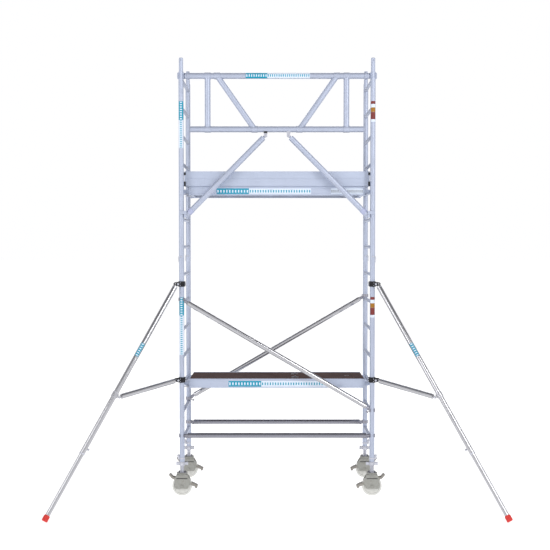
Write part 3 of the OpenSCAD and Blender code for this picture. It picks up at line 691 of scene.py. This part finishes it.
def stem_catches(bm):
    """At each corner a catch with a thumb lever, on the upright's outer side."""
    side_view = rounded([(-43, -26), (-24, -26), (-24, 14), (-34, 23), (-47, 23), (-52, 14), (-46, 2)], 6)
    for side, y in CORNERS.values():
        at = at_corner(side, y) @ move(0, 0, STEM_LOCK_Z)
        pivot = at @ move(-38, 0, 6)
        plate(bm, side_view, -9, 9, at @ ALONG_Y, edge=1.5)
        disc(bm, 5, -14, 14, pivot @ ALONG_Y)
        for s in (-1, 1):
            disc(bm, 7.5, 9, 12, pivot @ facing(s), edge=0.8)
        collar(bm, TUBE_R - 0.5, TUBE_R + 2.6, -20, -6, at, edge=0.8)


# ---------- castors ----------

def wing_nut(bm):
    """A cast wing nut with a flanged hub and two rounded wings."""
    low = NUT_TOP - NUT_H
    lathe(bm, [(STEM_R + 0.1, low + 2), (STEM_R + 2, low), (25, low), (27, low + 2), (27, low + 8),
               (24, low + 13), (24, NUT_TOP - 12), (28, NUT_TOP - 7), (28, NUT_TOP - 1.5), (26.5, NUT_TOP),
               (STEM_R + 2, NUT_TOP), (STEM_R + 0.1, NUT_TOP - 2)], closed=True, segments=48)
    wing = rounded([(20, 5), (42, 8), (60, 1), (60, 40), (42, 36), (20, 36)], 9, 6)
    for degrees in (0, 180):
        plate(bm, wing, -8, 8, turn(degrees, "Z") @ move(0, 0, low) @ ALONG_Y, edge=3.5)


def threaded_stem(bm):
    """The jack's thread, its smooth upper part, and its boss on the flange."""
    pitch, depth, rows, segments = 8.0, 2.2, 8, 36
    thread_top, stem_top = 560, 753
    rings = []
    for i in range(int((thread_top - FLANGE_Z) / pitch * rows) + 1):
        z = FLANGE_Z - 1 + i * pitch / rows
        ring = []
        for k in range(segments):
            phase = (z / pitch - k / segments) % 1
            flank = min(max(abs(phase - 0.5) * 5 - 0.75, 0), 1)
            angle = math.tau * k / segments
            radius = STEM_R - depth * flank
            ring.append((radius * math.cos(angle), radius * math.sin(angle), z))
        rings.append(ring)
    skin(bm, rings)
    disc(bm, STEM_R - 0.6, thread_top, stem_top, edge=3)
    lathe(bm, [(27, FLANGE_Z - 0.5), (24, FLANGE_Z + 3), (20.5, FLANGE_Z + 9), (STEM_R - 2, FLANGE_Z + 11)])


def stem_flange(bm):
    """The flange that the swivel head hangs from."""
    disc(bm, 55, FLANGE_Z - 8, FLANGE_Z, edge=1.6, segments=56)
    collar(bm, 30, 33, FLANGE_Z - 1, FLANGE_Z + 1.2, edge=0.6)


def flange_bolts(bm):
    for degrees in range(45, 360, 90):
        hex_head(bm, 19, 10, turn(degrees, "Z") @ move(40, 0, FLANGE_Z))


def castor_fork(bm):
    """Pressed fork: ball-race head, bridge, two cheeks with a raised boss, and the axle bolt."""
    head = [(46, 6), (52, 7), (53, 10), (52, 13.5), (47, 14), (47, 16), (52, 16.5), (52.5, 20), (50, 22.7)]
    lathe(bm, head, move(0, 0, HEAD_Z), segments=56)
    disc(bm, 9.9, HEAD_Z + 2, FLANGE_Z + 6)
    disc(bm, 15, HEAD_Z - 5, HEAD_Z + 1, edge=1.5)
    block(bm, (-58, -FORK_FACE, HEAD_Z), (58, FORK_FACE, HEAD_Z + 8), corner=6, edge=2)
    cheek = rounded([(-57, HEAD_Z + 4), (-73, 172), (-74, 128), (-66, 74), (57, 74), (80, 120), (90, 146),
                     (78, 170), (57, HEAD_Z + 4)], 10, 5)
    rib = rounded([(-46, 190), (-58, 166), (-58, 130), (-50, 92), (54, 92), (70, 118), (68, 140), (58, 162),
                   (46, 190)], 10)
    for face in FACES:
        plate(bm, cheek, FORK_FACE - CHEEK_T, FORK_FACE, face @ ALONG_Y, edge=1.2)
        sweep(bm, [(x, -FORK_FACE - 0.2, z) for x, z in rib], 1.3, 6, face, closed=True)
        axle = face @ move(0, 0, AXLE_Z) @ ALONG_Y
        disc(bm, 21, FORK_FACE - 1, FORK_FACE + 1.4, axle, edge=0.8)
        hex_head(bm, 25, 9.5, axle @ move(0, 0, FORK_FACE + 1.2))
        pivot = face @ move(*BRAKE_PIVOT) @ ALONG_Y
        collar(bm, 5.2, 9, FORK_FACE - 0.5, FORK_FACE + 1.6, pivot, edge=0.5, segments=24)
    disc(bm, 7.9, -FORK_FACE, FORK_FACE, move(0, 0, AXLE_Z) @ ALONG_Y, edge=0.5)


def painted_head_shade(bm):
    """Painted shade under the swivel head: a black ring in the head's groove, a black ring in the gap under
    it, and a black strip across each cheek where the head's shadow line falls.
    """
    collar(bm, 40, 50, HEAD_Z + 13.2, HEAD_Z + 16.8, edge=0.5, segments=56)
    collar(bm, 40, 51.5, HEAD_Z + 7.6, HEAD_Z + 9, edge=0.3, segments=56)
    for face in FACES:
        block(bm, (-56, -FORK_FACE - 2.4, 173), (56, -FORK_FACE + 1, 181), face, corner=0.8, edge=0.8)


def castor_wheel(bm):
    """A nylon wheel: rounded tread, dished web with ribs, and hub with its bearing rings."""
    half = 23
    half_profile = [(8.2, half + 1), (13, half + 1), (25, half), (27, half - 8), (38, half - 9.5),
                    (78, half - 8), (82, half - 1), (90, half), (95, half - 1.2), (98.6, half - 4.5),
                    (100, half - 9)]
    at = move(0, 0, AXLE_Z) @ ALONG_Y
    lathe(bm, half_profile + [(r, -z) for r, z in reversed(half_profile)], at, 72, closed=True)
    for degrees in (i * 45 + 22.5 for i in range(8)):
        for flip in (0, 180):
            rib = at @ turn(degrees, "Z") @ turn(flip, "X")
            block(bm, (25, -2.2, half - 10), (81, 2.2, half - 3), rib, corner=1.5)


def pedal(bm, outline, ribs_from, ribs_to):
    """A pressed pedal with raised grip ribs across it."""
    plate(bm, rounded(outline, 6), -30, 30, ALONG_Y, edge=3)
    for i in range(4):
        p = Vector(ribs_from).lerp(Vector(ribs_to), i / 3)
        sweep(bm, [(p.x, -24, p.y), (p.x, 24, p.y)], 1.8, 8)


def brake_rocker(bm):
    """The rocker's two side arms, its pivot stubs and both pedals."""
    arm = rounded([(-104, 176), (-90, 194), (13, 164), (108, 130), (104, 106), (13, 138)], 7)
    for face in FACES:
        plate(bm, arm, 27.8, 30.6, face @ ALONG_Y, edge=0.8)
        disc(bm, 4.9, 28, FORK_FACE + 1.4, face @ move(*BRAKE_PIVOT) @ ALONG_Y, edge=0.6)
    pedal(bm, [(-100, 172), (-88, 190), (-118, 224), (-134, 214)], (-94, 193), (-117, 220))
    pedal(bm, [(98, 132), (97, 104), (128, 96), (136, 77), (152, 79), (159, 104), (124, 124)],
          (104, 131), (150, 110))


def make_castors():
    # Those with a slot of their own are extras, and the others stand for their body's CAD node
    parts = (("nut", "wing_nut", wing_nut, "zinc_steel", None),
             ("stem", "threaded_stem", threaded_stem, "zinc_steel", None),
             ("stem", "stem_flange", stem_flange, "castor_plate", "zinc_steel"),
             ("stem", "flange_bolts", flange_bolts, "dark_steel", "zinc_steel"),
             ("fork", "fork_plates", castor_fork, "castor_plate", None),
             # The fork's black head bands are painted shade: they stand for the shadow line under the swivel
             # head
             ("fork", "painted_head_shade", painted_head_shade, "bracket_black", "castor_plate"),
             ("wheel", "wheel", castor_wheel, "wheel_plastic", None),
             ("brake", "pedals", brake_rocker, "pedal_steel", None))
    for corner, (side, y) in CORNERS.items():
        for node, name, draw, finish, slot in parts:
            body = f"castor_{corner}_{node}"
            piece(f"{corner}_{name}", draw, finish, body, None if slot else body, at_corner(side, y))


# ---------- platforms ----------

def deck_boards(bm):
    """The fixed plywood boards on both sides of the trapdoor, with their tops on z = 0."""
    for x0, x1 in ((1 - HALF_PLATFORM, HATCH_X - 1), (HATCH_X + HATCH_LEN + 3, HALF_PLATFORM - 1)):
        block(bm, (x0, MID_Y - HALF_DECK, -DECK_T), (x1, MID_Y + HALF_DECK, 0), corner=1, edge=0.6)


def hatch_board(bm):
    """The trapdoor's board: two halves whose notches make a finger hole."""
    x0, x1, half = HATCH_X + 1, HATCH_X + HATCH_LEN, HALF_DECK - 1
    notch = [(p.x, p.y) for p in arc((HOLE_X, 0, 0), 18, 180, 0, steps=15)]
    outline = [(x0, 0)] + notch + [(x1, 0), (x1, half), (x0, half)]
    for face in FACES:
        plate(bm, outline, -DECK_T, 0, move(0, MID_Y, 0) @ face, edge=0.3)


def hinge_fixed(bm):
    """The hinges' fixed leaves, outer knuckles and pins, on a deck at z = 0."""
    for y in (MID_Y - HINGE_Y, MID_Y + HINGE_Y):
        block(bm, (HATCH_X - 40, y - 31, 0), (HATCH_X - 8, y + 31, LEAF_T), corner=5, edge=0.6)
        for s in (-1, 1):
            knuckle_y = y + s * 25
            collar(bm, 4, 7, -5, 5, move(HATCH_X, knuckle_y, HINGE_UP) @ ALONG_Y, edge=0.5, segments=24)
            block(bm, (HATCH_X - 12, knuckle_y - 5, 0), (HATCH_X - 3, knuckle_y + 5, 4), corner=1, edge=0.5)
            dome_head(bm, 4.2, 2.2, move(HATCH_X - 27, y + s * 18, 2.5))
        disc(bm, 3.9, -31, 31, move(HATCH_X, y, HINGE_UP) @ ALONG_Y, edge=0.8)


def hinge_moving(bm):
    """The trapdoor's leaves and middle knuckles, and a ring round its finger hole."""
    for y in (MID_Y - HINGE_Y, MID_Y + HINGE_Y):
        collar(bm, 4.1, 7, -19.3, 19.3, move(HATCH_X, y, HINGE_UP) @ ALONG_Y, edge=0.5, segments=24)
        block(bm, (HATCH_X + 4, y - 19, 0), (HATCH_X + 34, y + 19, LEAF_T), corner=5, edge=0.6)
        for s in (-1, 1):
            dome_head(bm, 4.2, 2.2, move(HATCH_X + 24, y + s * 11, 2.5))
    collar(bm, 16.5, 24, -0.6, 1.4, move(HOLE_X, MID_Y, 0), edge=0.5)


def beam_lines(bm):
    """The side beams' raised lines and rivets, drawn with the beams on z = 0."""
    for s in (-1, 1):
        y = MID_Y + s * BEAM_FACE
        for z, tall in ((3, 5), (20, 1.6), (BEAM_H - 20, 1.6), (BEAM_H - 5, 4)):
            block(bm, (-HALF_PLATFORM, y - 1, z - tall / 2), (HALF_PLATFORM, y + 1, z + tall / 2),
                  corner=0.3, edge=0.4)
        for side in (-1, 1):
            for z in (26, 46, 66):
                dome_head(bm, 4.5, 2.4, move(side * (HALF_PLATFORM - 16), y, z) @ facing(s))
        for x in (-500, -60, HATCH_X - 40):
            for dx in (-10, 10):
                dome_head(bm, 4, 2.2, move(x + dx, y, BEAM_H - 34) @ facing(s))


def wind_lock(bm):
    """A wind lock: a round rod, two bent fingers under the rung, and two thumb tabs."""
    disc(bm, 4.9, -255, 255, ALONG_Y)
    finger = rounded([(4, -2), (4, 6), (-60, 6), (-66, 4), (-66, -2)], 2)
    tab = rounded([(-3, 0), (5, 0), (5, -16), (-3, -16)], 2)
    for low in (-LOCK_FINGER_Y - 5, LOCK_FINGER_Y - 5):
        disc(bm, 9, low, low + 10, ALONG_Y)
        plate(bm, finger, low, low + 10, ALONG_Y)
        plate(bm, tab, low, low + 10, ALONG_Y, edge=1.2)


def make_platforms():
    for level, rung_z in (("lower", LOWER_RUNG_Z), ("upper", UPPER_RUNG_Z)):
        prefix = f"{level}_platform"
        hatch, lock = f"{prefix}_hatch", f"{prefix}_windlock"
        top = move(0, 0, rung_z + DECK_UP)
        dress("beam_aluminium", f"{prefix}_frame")
        piece(f"{prefix}_boards", deck_boards, "plywood", replaces=f"{prefix}_deck", at=top)
        piece(f"{prefix}_hinges", hinge_fixed, "dark_steel", at=top)
        piece(f"{prefix}_trapdoor", hatch_board, "plywood", hatch, replaces=hatch, at=top)
        piece(f"{prefix}_hinge_leaves", hinge_moving, "dark_steel", hatch, at=top)
        piece(f"{prefix}_beam_lines", beam_lines, "beam_aluminium", at=move(0, 0, rung_z + BEAM_UP))
        piece(f"{prefix}_lock_rod", wind_lock, "zinc_steel", lock, replaces=lock,
              at=move(-LOCK_X, MID_Y, rung_z - LOCK_DROP))


# ---------- toe boards ----------

def toe_board_lines(bm):
    """Raised lines of the toe boards' extrusion, on the outer faces."""
    low, high = box_mm("toe_boards")
    faces = [((low.x + 10, y - 0.9), (high.x - 10, y + 0.9)) for y in (low.y, high.y)]
    faces += [((x - 0.9, low.y + 26), (x + 0.9, high.y - 26)) for x in (low.x + 4, high.x - 4)]
    for z in (low.z + up for up in (4, 73, 79, 146)):
        for start, end in faces:
            block(bm, (*start, z - 1.5), (*end, z + 1.5), corner=0.3, edge=0.4)


def corner_brackets(bm):
    """Black corner clips of the toe boards, with their screws."""
    low, high = box_mm("toe_board_brackets")
    for side in (-1, 1):
        for face, y in zip(FACES, (low.y, high.y)):
            for up, tall in ((0, 46), (111, 27)):
                at = at_side(side) @ move(low.x, y, low.z + up) @ face
                block(bm, (0, 0, 0), (24, 5.6, tall), at, corner=1.5, edge=1.6)
                block(bm, (0, 0, 0), (7.6, 52, tall), at, corner=1.5, edge=1.6)
                dome_head(bm, 4, 2, at @ move(16, 2, tall / 2) @ ALONG_Y)


def make_toe_boards():
    dress("beam_aluminium", "toe_boards")
    piece("toe_board_lines", toe_board_lines, "beam_aluminium")
    piece("toe_board_corners", corner_brackets, "bracket_black", replaces="toe_board_brackets")


# ---------- guardrail ----------

def guardrail_welds(bm):
    """Saddles round the two rails where posts and diagonals meet them, and their weld beads."""
    rail, outer = Vector((1, 0, 0)), RAIL_R + SADDLE_T
    for s in (-1, 1):
        for low_x, high_x, radius in ((POST_X, POST_X, POST_R), (DIAG_LOW_X, DIAG_TOP_X, RAIL_DIAG_R)):
            low = Vector((s * low_x, FRONT_Y, KNEE_RAIL_Z))
            high = Vector((s * high_x, FRONT_Y, TOP_RAIL_Z))
            for end, run in ((high, high - low), (low, low - high)):
                weld(bm, (low + high) / 2, run, radius, end, rail, outer)
                collar(bm, RAIL_R - 0.5, outer, -radius - 3, radius + 3, along(end, end + rail), edge=1.2)


def rail_ends(bm):
    """Closed caps on the knee rail's ends, and the top rail's collars with their rivets."""
    for s in (-1, 1):
        outward = along((0, 0, 0), (s, 0, 0))
        disc(bm, RAIL_R - 1, 0, 5, move(s * KNEE_RAIL_END, FRONT_Y, KNEE_RAIL_Z) @ outward, edge=2)
        sleeve = move(s * (HALF_LEN - 92), FRONT_Y, TOP_RAIL_Z) @ outward
        collar(bm, RAIL_R - 0.5, RAIL_R + 4.5, 4, 34, sleeve, edge=1.6)
        collar(bm, RAIL_R + 3, RAIL_R + 8, 12, 26, sleeve, edge=1.8)
        for degrees in (0, 180):
            rivet = move(s * (HALF_LEN - 74), FRONT_Y, TOP_RAIL_Z) @ turn(degrees, "X")
            dome_head(bm, 5, 3, rivet @ move(0, 0, RAIL_R + 8))


def hinge_bolts(bm):
    """Bolt heads and nuts of the struts' hinges."""
    for s in (-1, 1):
        for out in (-1, 1):
            hex_head(bm, 15, 8, move(s * STRUT_HINGE_X, FRONT_Y + out * 20, STRUT_HINGE_Z) @ facing(out))


def hinge_buffer(bm):
    """The black buffer above the left hinge, which the right strut has no need of."""
    block(bm, (-18.5, -21.5, -12), (18.5, 21.5, 9), move(-STRUT_HINGE_X, FRONT_Y, KNEE_RAIL_Z - RAIL_R),
          corner=4, edge=1.2)


def strut_axis(side):
    """Axes with the origin on the strut's hinge and +Z towards its hook."""
    return along((side * STRUT_HINGE_X, FRONT_Y, STRUT_HINGE_Z), (side * STRUT_HOOK_X, FRONT_Y, STRUT_HOOK_Z))


def strut_rivets(bm, side):
    """Rivets through the strut's two end plugs, and a ring below its hinge."""
    for distance in (74, STRUT_LEN - 44):
        for out in (-1, 1):
            x, y, z = strut_axis(side) @ Vector((0, 0, distance))
            dome_head(bm, 5, 3, move(x, y + out * (STRUT_R - 0.3), z) @ facing(out))
    collar(bm, STRUT_R - 0.4, STRUT_R + 1.2, 62, 70, strut_axis(side), edge=0.5)


def strut_latch(bm, side):
    """The latch band round the strut's lower end."""
    collar(bm, STRUT_R - 0.4, STRUT_R + 2.4, STRUT_LEN - 66, STRUT_LEN - 18, strut_axis(side), edge=1.2)


def make_guardrail():
    struts = {side: f"guardrail_strut_{name}" for name, side in SIDES.items()}
    dress("rail_aluminium", "guardrail_frame", "guardrail_claws", *struts.values())
    dress("zinc_steel", "guardrail_hinges")
    piece("guardrail_welds", guardrail_welds, "rail_aluminium")
    piece("guardrail_ends", rail_ends, "rail_aluminium")
    piece("guardrail_hinge_bolts", hinge_bolts, "zinc_steel")
    piece("guardrail_buffers", hinge_buffer, "bracket_black")
    for side, strut in struts.items():
        piece(f"{strut}_rivets", lambda bm: strut_rivets(bm, side), "rail_aluminium", strut)
        piece(f"{strut}_latch", lambda bm: strut_latch(bm, side), "latch_grey", strut)


# ---------- braces ----------

def claw_trigger(bm, at):
    """A claw's sprung trigger, drawn under a claw on the origin whose brace leaves along +X."""
    lever = rounded([(30, -15), (66, -15), (60, -24), (46, -31), (38, -24)], 3)
    plate(bm, lever, -5, 5, at @ ALONG_Y, edge=1.4)
    disc(bm, 4, -12, 12, at @ move(50, 0, -14) @ ALONG_Y, edge=0.8)
    for s in (-1, 1):
        dome_head(bm, 4.5, 2.5, at @ move(44, s * 14, 4) @ facing(s))


def claw_triggers(bm):
    """Triggers of the braces' claws: a horizontal brace's and a diagonal's at each corner."""
    low_z = sum(box_mm("horizontal_braces"), Vector()).z / 2
    high_z = box_mm("brace_claws")[1].z - 15
    for side, y in CORNERS.values():
        front = y == FRONT_Y
        diagonal_z = high_z if (side < 0) == front else high_z - 4 * RUNG_PITCH
        for z in (low_z, diagonal_z):
            claw_trigger(bm, at_corner(side, y) @ move(0, 0, z) @ FACES[0 if front else 1])


def brace_rings(bm):
    """Swaged rings and rivets at the horizontal braces' ends."""
    low, high = box_mm("horizontal_braces")
    z = (low.z + high.z) / 2
    r = high.z - z
    for y in (low.y + r, high.y - r):
        for s in (-1, 1):
            inward = along((s * high.x, y, z), (0, y, z))
            for start in (4, 30):
                collar(bm, r - 0.5, r + 1.6, start, start + 6, inward, edge=0.6)
            for out in (-1, 1):
                dome_head(bm, 4.5, 2.6, inward @ move(0, 0, 20) @ facing(out) @ move(0, 0, r - 0.4))


def make_braces():
    # The horizontal braces and their end rings take the bright aluminium darkened: painted shade
    dress("shaded_bright_aluminium", "horizontal_braces")
    dress("brace_aluminium", "diagonal_braces")
    dress("claw_cast", "brace_claws")
    piece("brace_claw_triggers", claw_triggers, "claw_cast")
    piece("brace_end_rings", brace_rings, "shaded_bright_aluminium")


# ---------- stabilisers ----------

def swivel_clamp(bm, at):
    """One swivel clamp: a split band, its lugs, and the rounded eyes that hold the pin."""
    half = CLAMP_H / 2
    collar(bm, TUBE_R + 0.1, 33.5, -half, half, at, edge=2.2, segments=56)
    for z in (-13, 13):
        collar(bm, 32, 35.2, z - 4, z + 4, at, edge=1.2, segments=56)
    ear = rounded([(18, -20), (62, -21), (80, -12), (83, 0), (80, 12), (62, 21), (18, 20)], 10, 5)
    for face in FACES:
        plate(bm, ear, 14, 26, at @ face @ ALONG_Y, edge=2)
        block(bm, (-45, -9, 3 - half), (-28, -2, half - 3), at @ face, corner=3, edge=1.5)


def clamp_bolts(bm, at):
    """The clamp's bright pin, bolts and nuts."""
    disc(bm, 5.9, -31, 31, at @ move(STAB_PIVOT, 0, 0) @ ALONG_Y)
    for s in (-1, 1):
        hex_head(bm, 20, 9, at @ move(STAB_PIVOT, s * 26, 0) @ facing(s))
        for z in (-12, 12):
            hex_head(bm, 14, 8, at @ move(-37, s * 9, z) @ facing(s))
            dome_head(bm, 5, 3, at @ move(36, s * 26, z) @ facing(s))


def on_both_clamps(draw):
    """Draws a shape at the stabiliser's upper and lower clamp."""
    return lambda bm: [draw(bm, move(0, 0, z)) for z in (UPPER_CLAMP_Z, LOWER_CLAMP_Z)]


def foot(bm):
    """A ribbed rubber foot, drawn with its sole at the leg's end."""
    top, end = LEG_LEN - FOOT_H, LEG_LEN
    profile = [(INNER_LEG_R, top), (23.8, top), (24.4, top + 1.5), (24.4, top + 6), (27.5, top + 8),
               (29, top + 11)]
    for z in (top + 15 + i * 8 for i in range(4)):
        profile += [(29.8, z), (29.8, z + 3.5), (28.4, z + 5), (28.4, z + 6.5)]
    profile += [(29.8, end - 14), (29.4, end - 9), (27.5, end - 4.5), (24, end - 1.5), (19, end), (6, end),
                (5, end - 3), (INNER_LEG_R, end - 8)]
    lathe(bm, profile, segments=48, closed=True)


def pull_knob(bm):
    """A turned knob and its pin, drawn along +Z from the leg's axis."""
    disc(bm, 4.9, 23, 42, edge=0.6)
    profile = [(6, 0), (9, 0.3), (10, 2), (10, 4.5), (8, 6.5), (8, 8), (10, 10), (10, 12.5), (8.5, 14),
               (3, 14.4)]
    lathe(bm, profile, move(0, 0, LEG_R + 9), segments=32)


def knob_sleeve(bm):
    """The welded bush that guides the knob's pin."""
    collar(bm, 5.2, 9, LEG_R - 1, LEG_R + 4.2, edge=0.8, segments=28)


def leg_fittings(bm):
    """Bolts and rings of the arm's collar, and swaged rings at the outer tube's ends."""
    for z in (COLLAR_AT - 25, COLLAR_AT + 21):
        collar(bm, LEG_R + 3, LEG_R + 6.4, z, z + 4, edge=0.8)
    for s in (-1, 1):
        hex_head(bm, 16, 8, move(COLLAR_ARM, s * 20, COLLAR_AT) @ facing(s))
        hex_head(bm, 13, 7, move(0, s * (LEG_R + 4.6), COLLAR_AT) @ facing(s))
    collar(bm, LEG_R - 1.4, LEG_R + 1.8, OUTER_TUBE_END - 12, OUTER_TUBE_END + 1, edge=0.8)
    collar(bm, LEG_R - 1.4, LEG_R + 1.6, 38, 44, edge=0.6)


def make_stabilisers():
    for name, side in SIDES.items():
        prefix = f"stabiliser_{name}"
        body, leg, button = f"{prefix}_brace", f"{prefix}_leg", f"{prefix}_button"
        pivot, axis = at_stabiliser(side), at_leg(side)
        at_knob = axis @ move(0, 0, BUTTON_AT) @ turn(90, "Y")
        dress("leg_aluminium", f"{prefix}_tube", leg)
        dress("brace_aluminium", f"{prefix}_arm")
        piece(f"{prefix}_clamp_bands", on_both_clamps(swivel_clamp), "clamp_black", body,
              replaces=f"{prefix}_clamps", at=pivot)
        piece(f"{prefix}_clamp_bolts", on_both_clamps(clamp_bolts), "zinc_steel", body, at=pivot)
        piece(f"{prefix}_fittings", leg_fittings, "zinc_steel", body, at=axis)
        piece(f"{prefix}_knob_sleeve", knob_sleeve, "zinc_steel", body, at=at_knob)
        piece(f"{prefix}_knob", pull_knob, "zinc_steel", button, replaces=button, at=at_knob)
        piece(f"{prefix}_rubber_foot", foot, "foot_red", leg, replaces=f"{prefix}_foot", at=axis)


# ---------- plain labels ----------

def wrap(bm, axis, radius, first, last, low, high):
    """A thin film on a tube, between two angles about its axis and two distances along it."""
    steps = max(4, int(abs(last - first) / 6))
    outside = [math.radians(first + (last - first) * i / steps) for i in range(steps + 1)]
    outline = [(radius + 0.25, a) for a in outside] + [(radius - 0.3, a) for a in reversed(outside)]
    rings = [[axis @ Vector((r * math.cos(a), r * math.sin(a), z)) for r, a in outline] for z in (low, high)]
    skin(bm, rings)


def label(name, spans, field, bar, body):
    """Plain coloured fields with small plain bars; spans are (finish, low, high, bars, bars' finish).
    field and bar draw one of their kind between two places."""
    for i, (finish, low, high, count, mark) in enumerate(spans, 1):
        piece(f"{name}_field_{i}", lambda bm: field(bm, low, high), finish, body)
        if count:
            step = (high - low) / count
            starts = [low + step * (k + 0.275) for k in range(count)]
            piece(f"{name}_bars_{i}", lambda bm: [bar(bm, a, a + step * 0.45) for a in starts],
                  mark, body)


def tube_label(name, axis, radius, spans, body="tower", middle=-90, reach=62):
    """A label on a tube, round an angle about its axis."""
    def film(lift, half):
        return lambda bm, low, high: wrap(bm, axis, radius + lift, middle - half, middle + half, low, high)

    label(name, spans, film(0, reach), film(0.2, 24), body)


def beam_label(name, low_z, spans):
    """A label on a platform's front beam."""
    y, tall = box_mm("lower_platform_frame")[0].y, 60

    def panel(front, back, inset):
        return lambda bm, low, high: block(bm, (low, y - front, low_z + inset),
                                           (high, y + back, low_z + tall - inset), corner=0.2, edge=0.1)

    label(name, spans, panel(0.5, 0.4, 0), panel(0.8, 0, tall * 0.28), "tower")


def angle_to_front(axis):
    """Where -Y lies about an axis, in degrees."""
    front = axis.inverted().to_3x3() @ Vector((0, -1, 0))
    return math.degrees(math.atan2(front.y, front.x))


def make_labels():
    teal, pale, orange, red = "label_teal", "label_pale", "label_orange", "label_red"
    front_left, front_right = move(-HALF_LEN, FRONT_Y, 0), move(HALF_LEN, FRONT_Y, 0)
    tube_label("upper_left_label", front_left, TUBE_R,
               [(teal, 3783, 3968, 8, pale), (pale, 3503, 3782, 15, teal)])
    tube_label("lower_left_label", front_left, TUBE_R,
               [(teal, 1826, 2007, 8, pale), (pale, 1428, 1825, 19, teal)])
    for level, top in (("upper", 3970), ("lower", 2012)):
        fields = ((red, 28, 0), (pale, 62, 29), (orange, 108, 63), (red, 180, 109), (pale, 206, 181))
        tube_label(f"{level}_right_label", front_right, TUBE_R,
                   [(finish, top - low, top - high, 0, "") for finish, low, high in fields])
    top_rail = along((0, FRONT_Y, TOP_RAIL_Z), (1, FRONT_Y, TOP_RAIL_Z))
    tube_label("guardrail_label", top_rail, RAIL_R, [(teal, -313, -98, 9, pale), (pale, -97, 328, 20, teal)],
               middle=angle_to_front(top_rail))
    beam_label("upper_beam_label", UPPER_RUNG_Z + BEAM_UP + 12,
               [(teal, -613, -285, 11, pale), (pale, -284, 345, 24, teal),
                (pale, 547, 872, 16, "dark_steel")])
    beam_label("lower_beam_label", LOWER_RUNG_Z + BEAM_UP + 12,
               [(teal, -495, -161, 11, pale), (pale, -160, 500, 25, teal)])
    for name, side in SIDES.items():
        tube_label(f"stabiliser_{name}_label", at_leg(side), LEG_R, [(teal, 695, 838, 6, pale)],
                   f"stabiliser_{name}_brace", angle_to_front(at_leg(side)), 44)


# ---------- build ----------

make_finishes()
make_studio()
make_frames()
make_clips()
piece("stem_catches", stem_catches, "zinc_steel", replaces="stem_locks")
make_castors()
make_platforms()
make_toe_boards()
make_guardrail()
make_braces()
make_stabilisers()
make_labels()
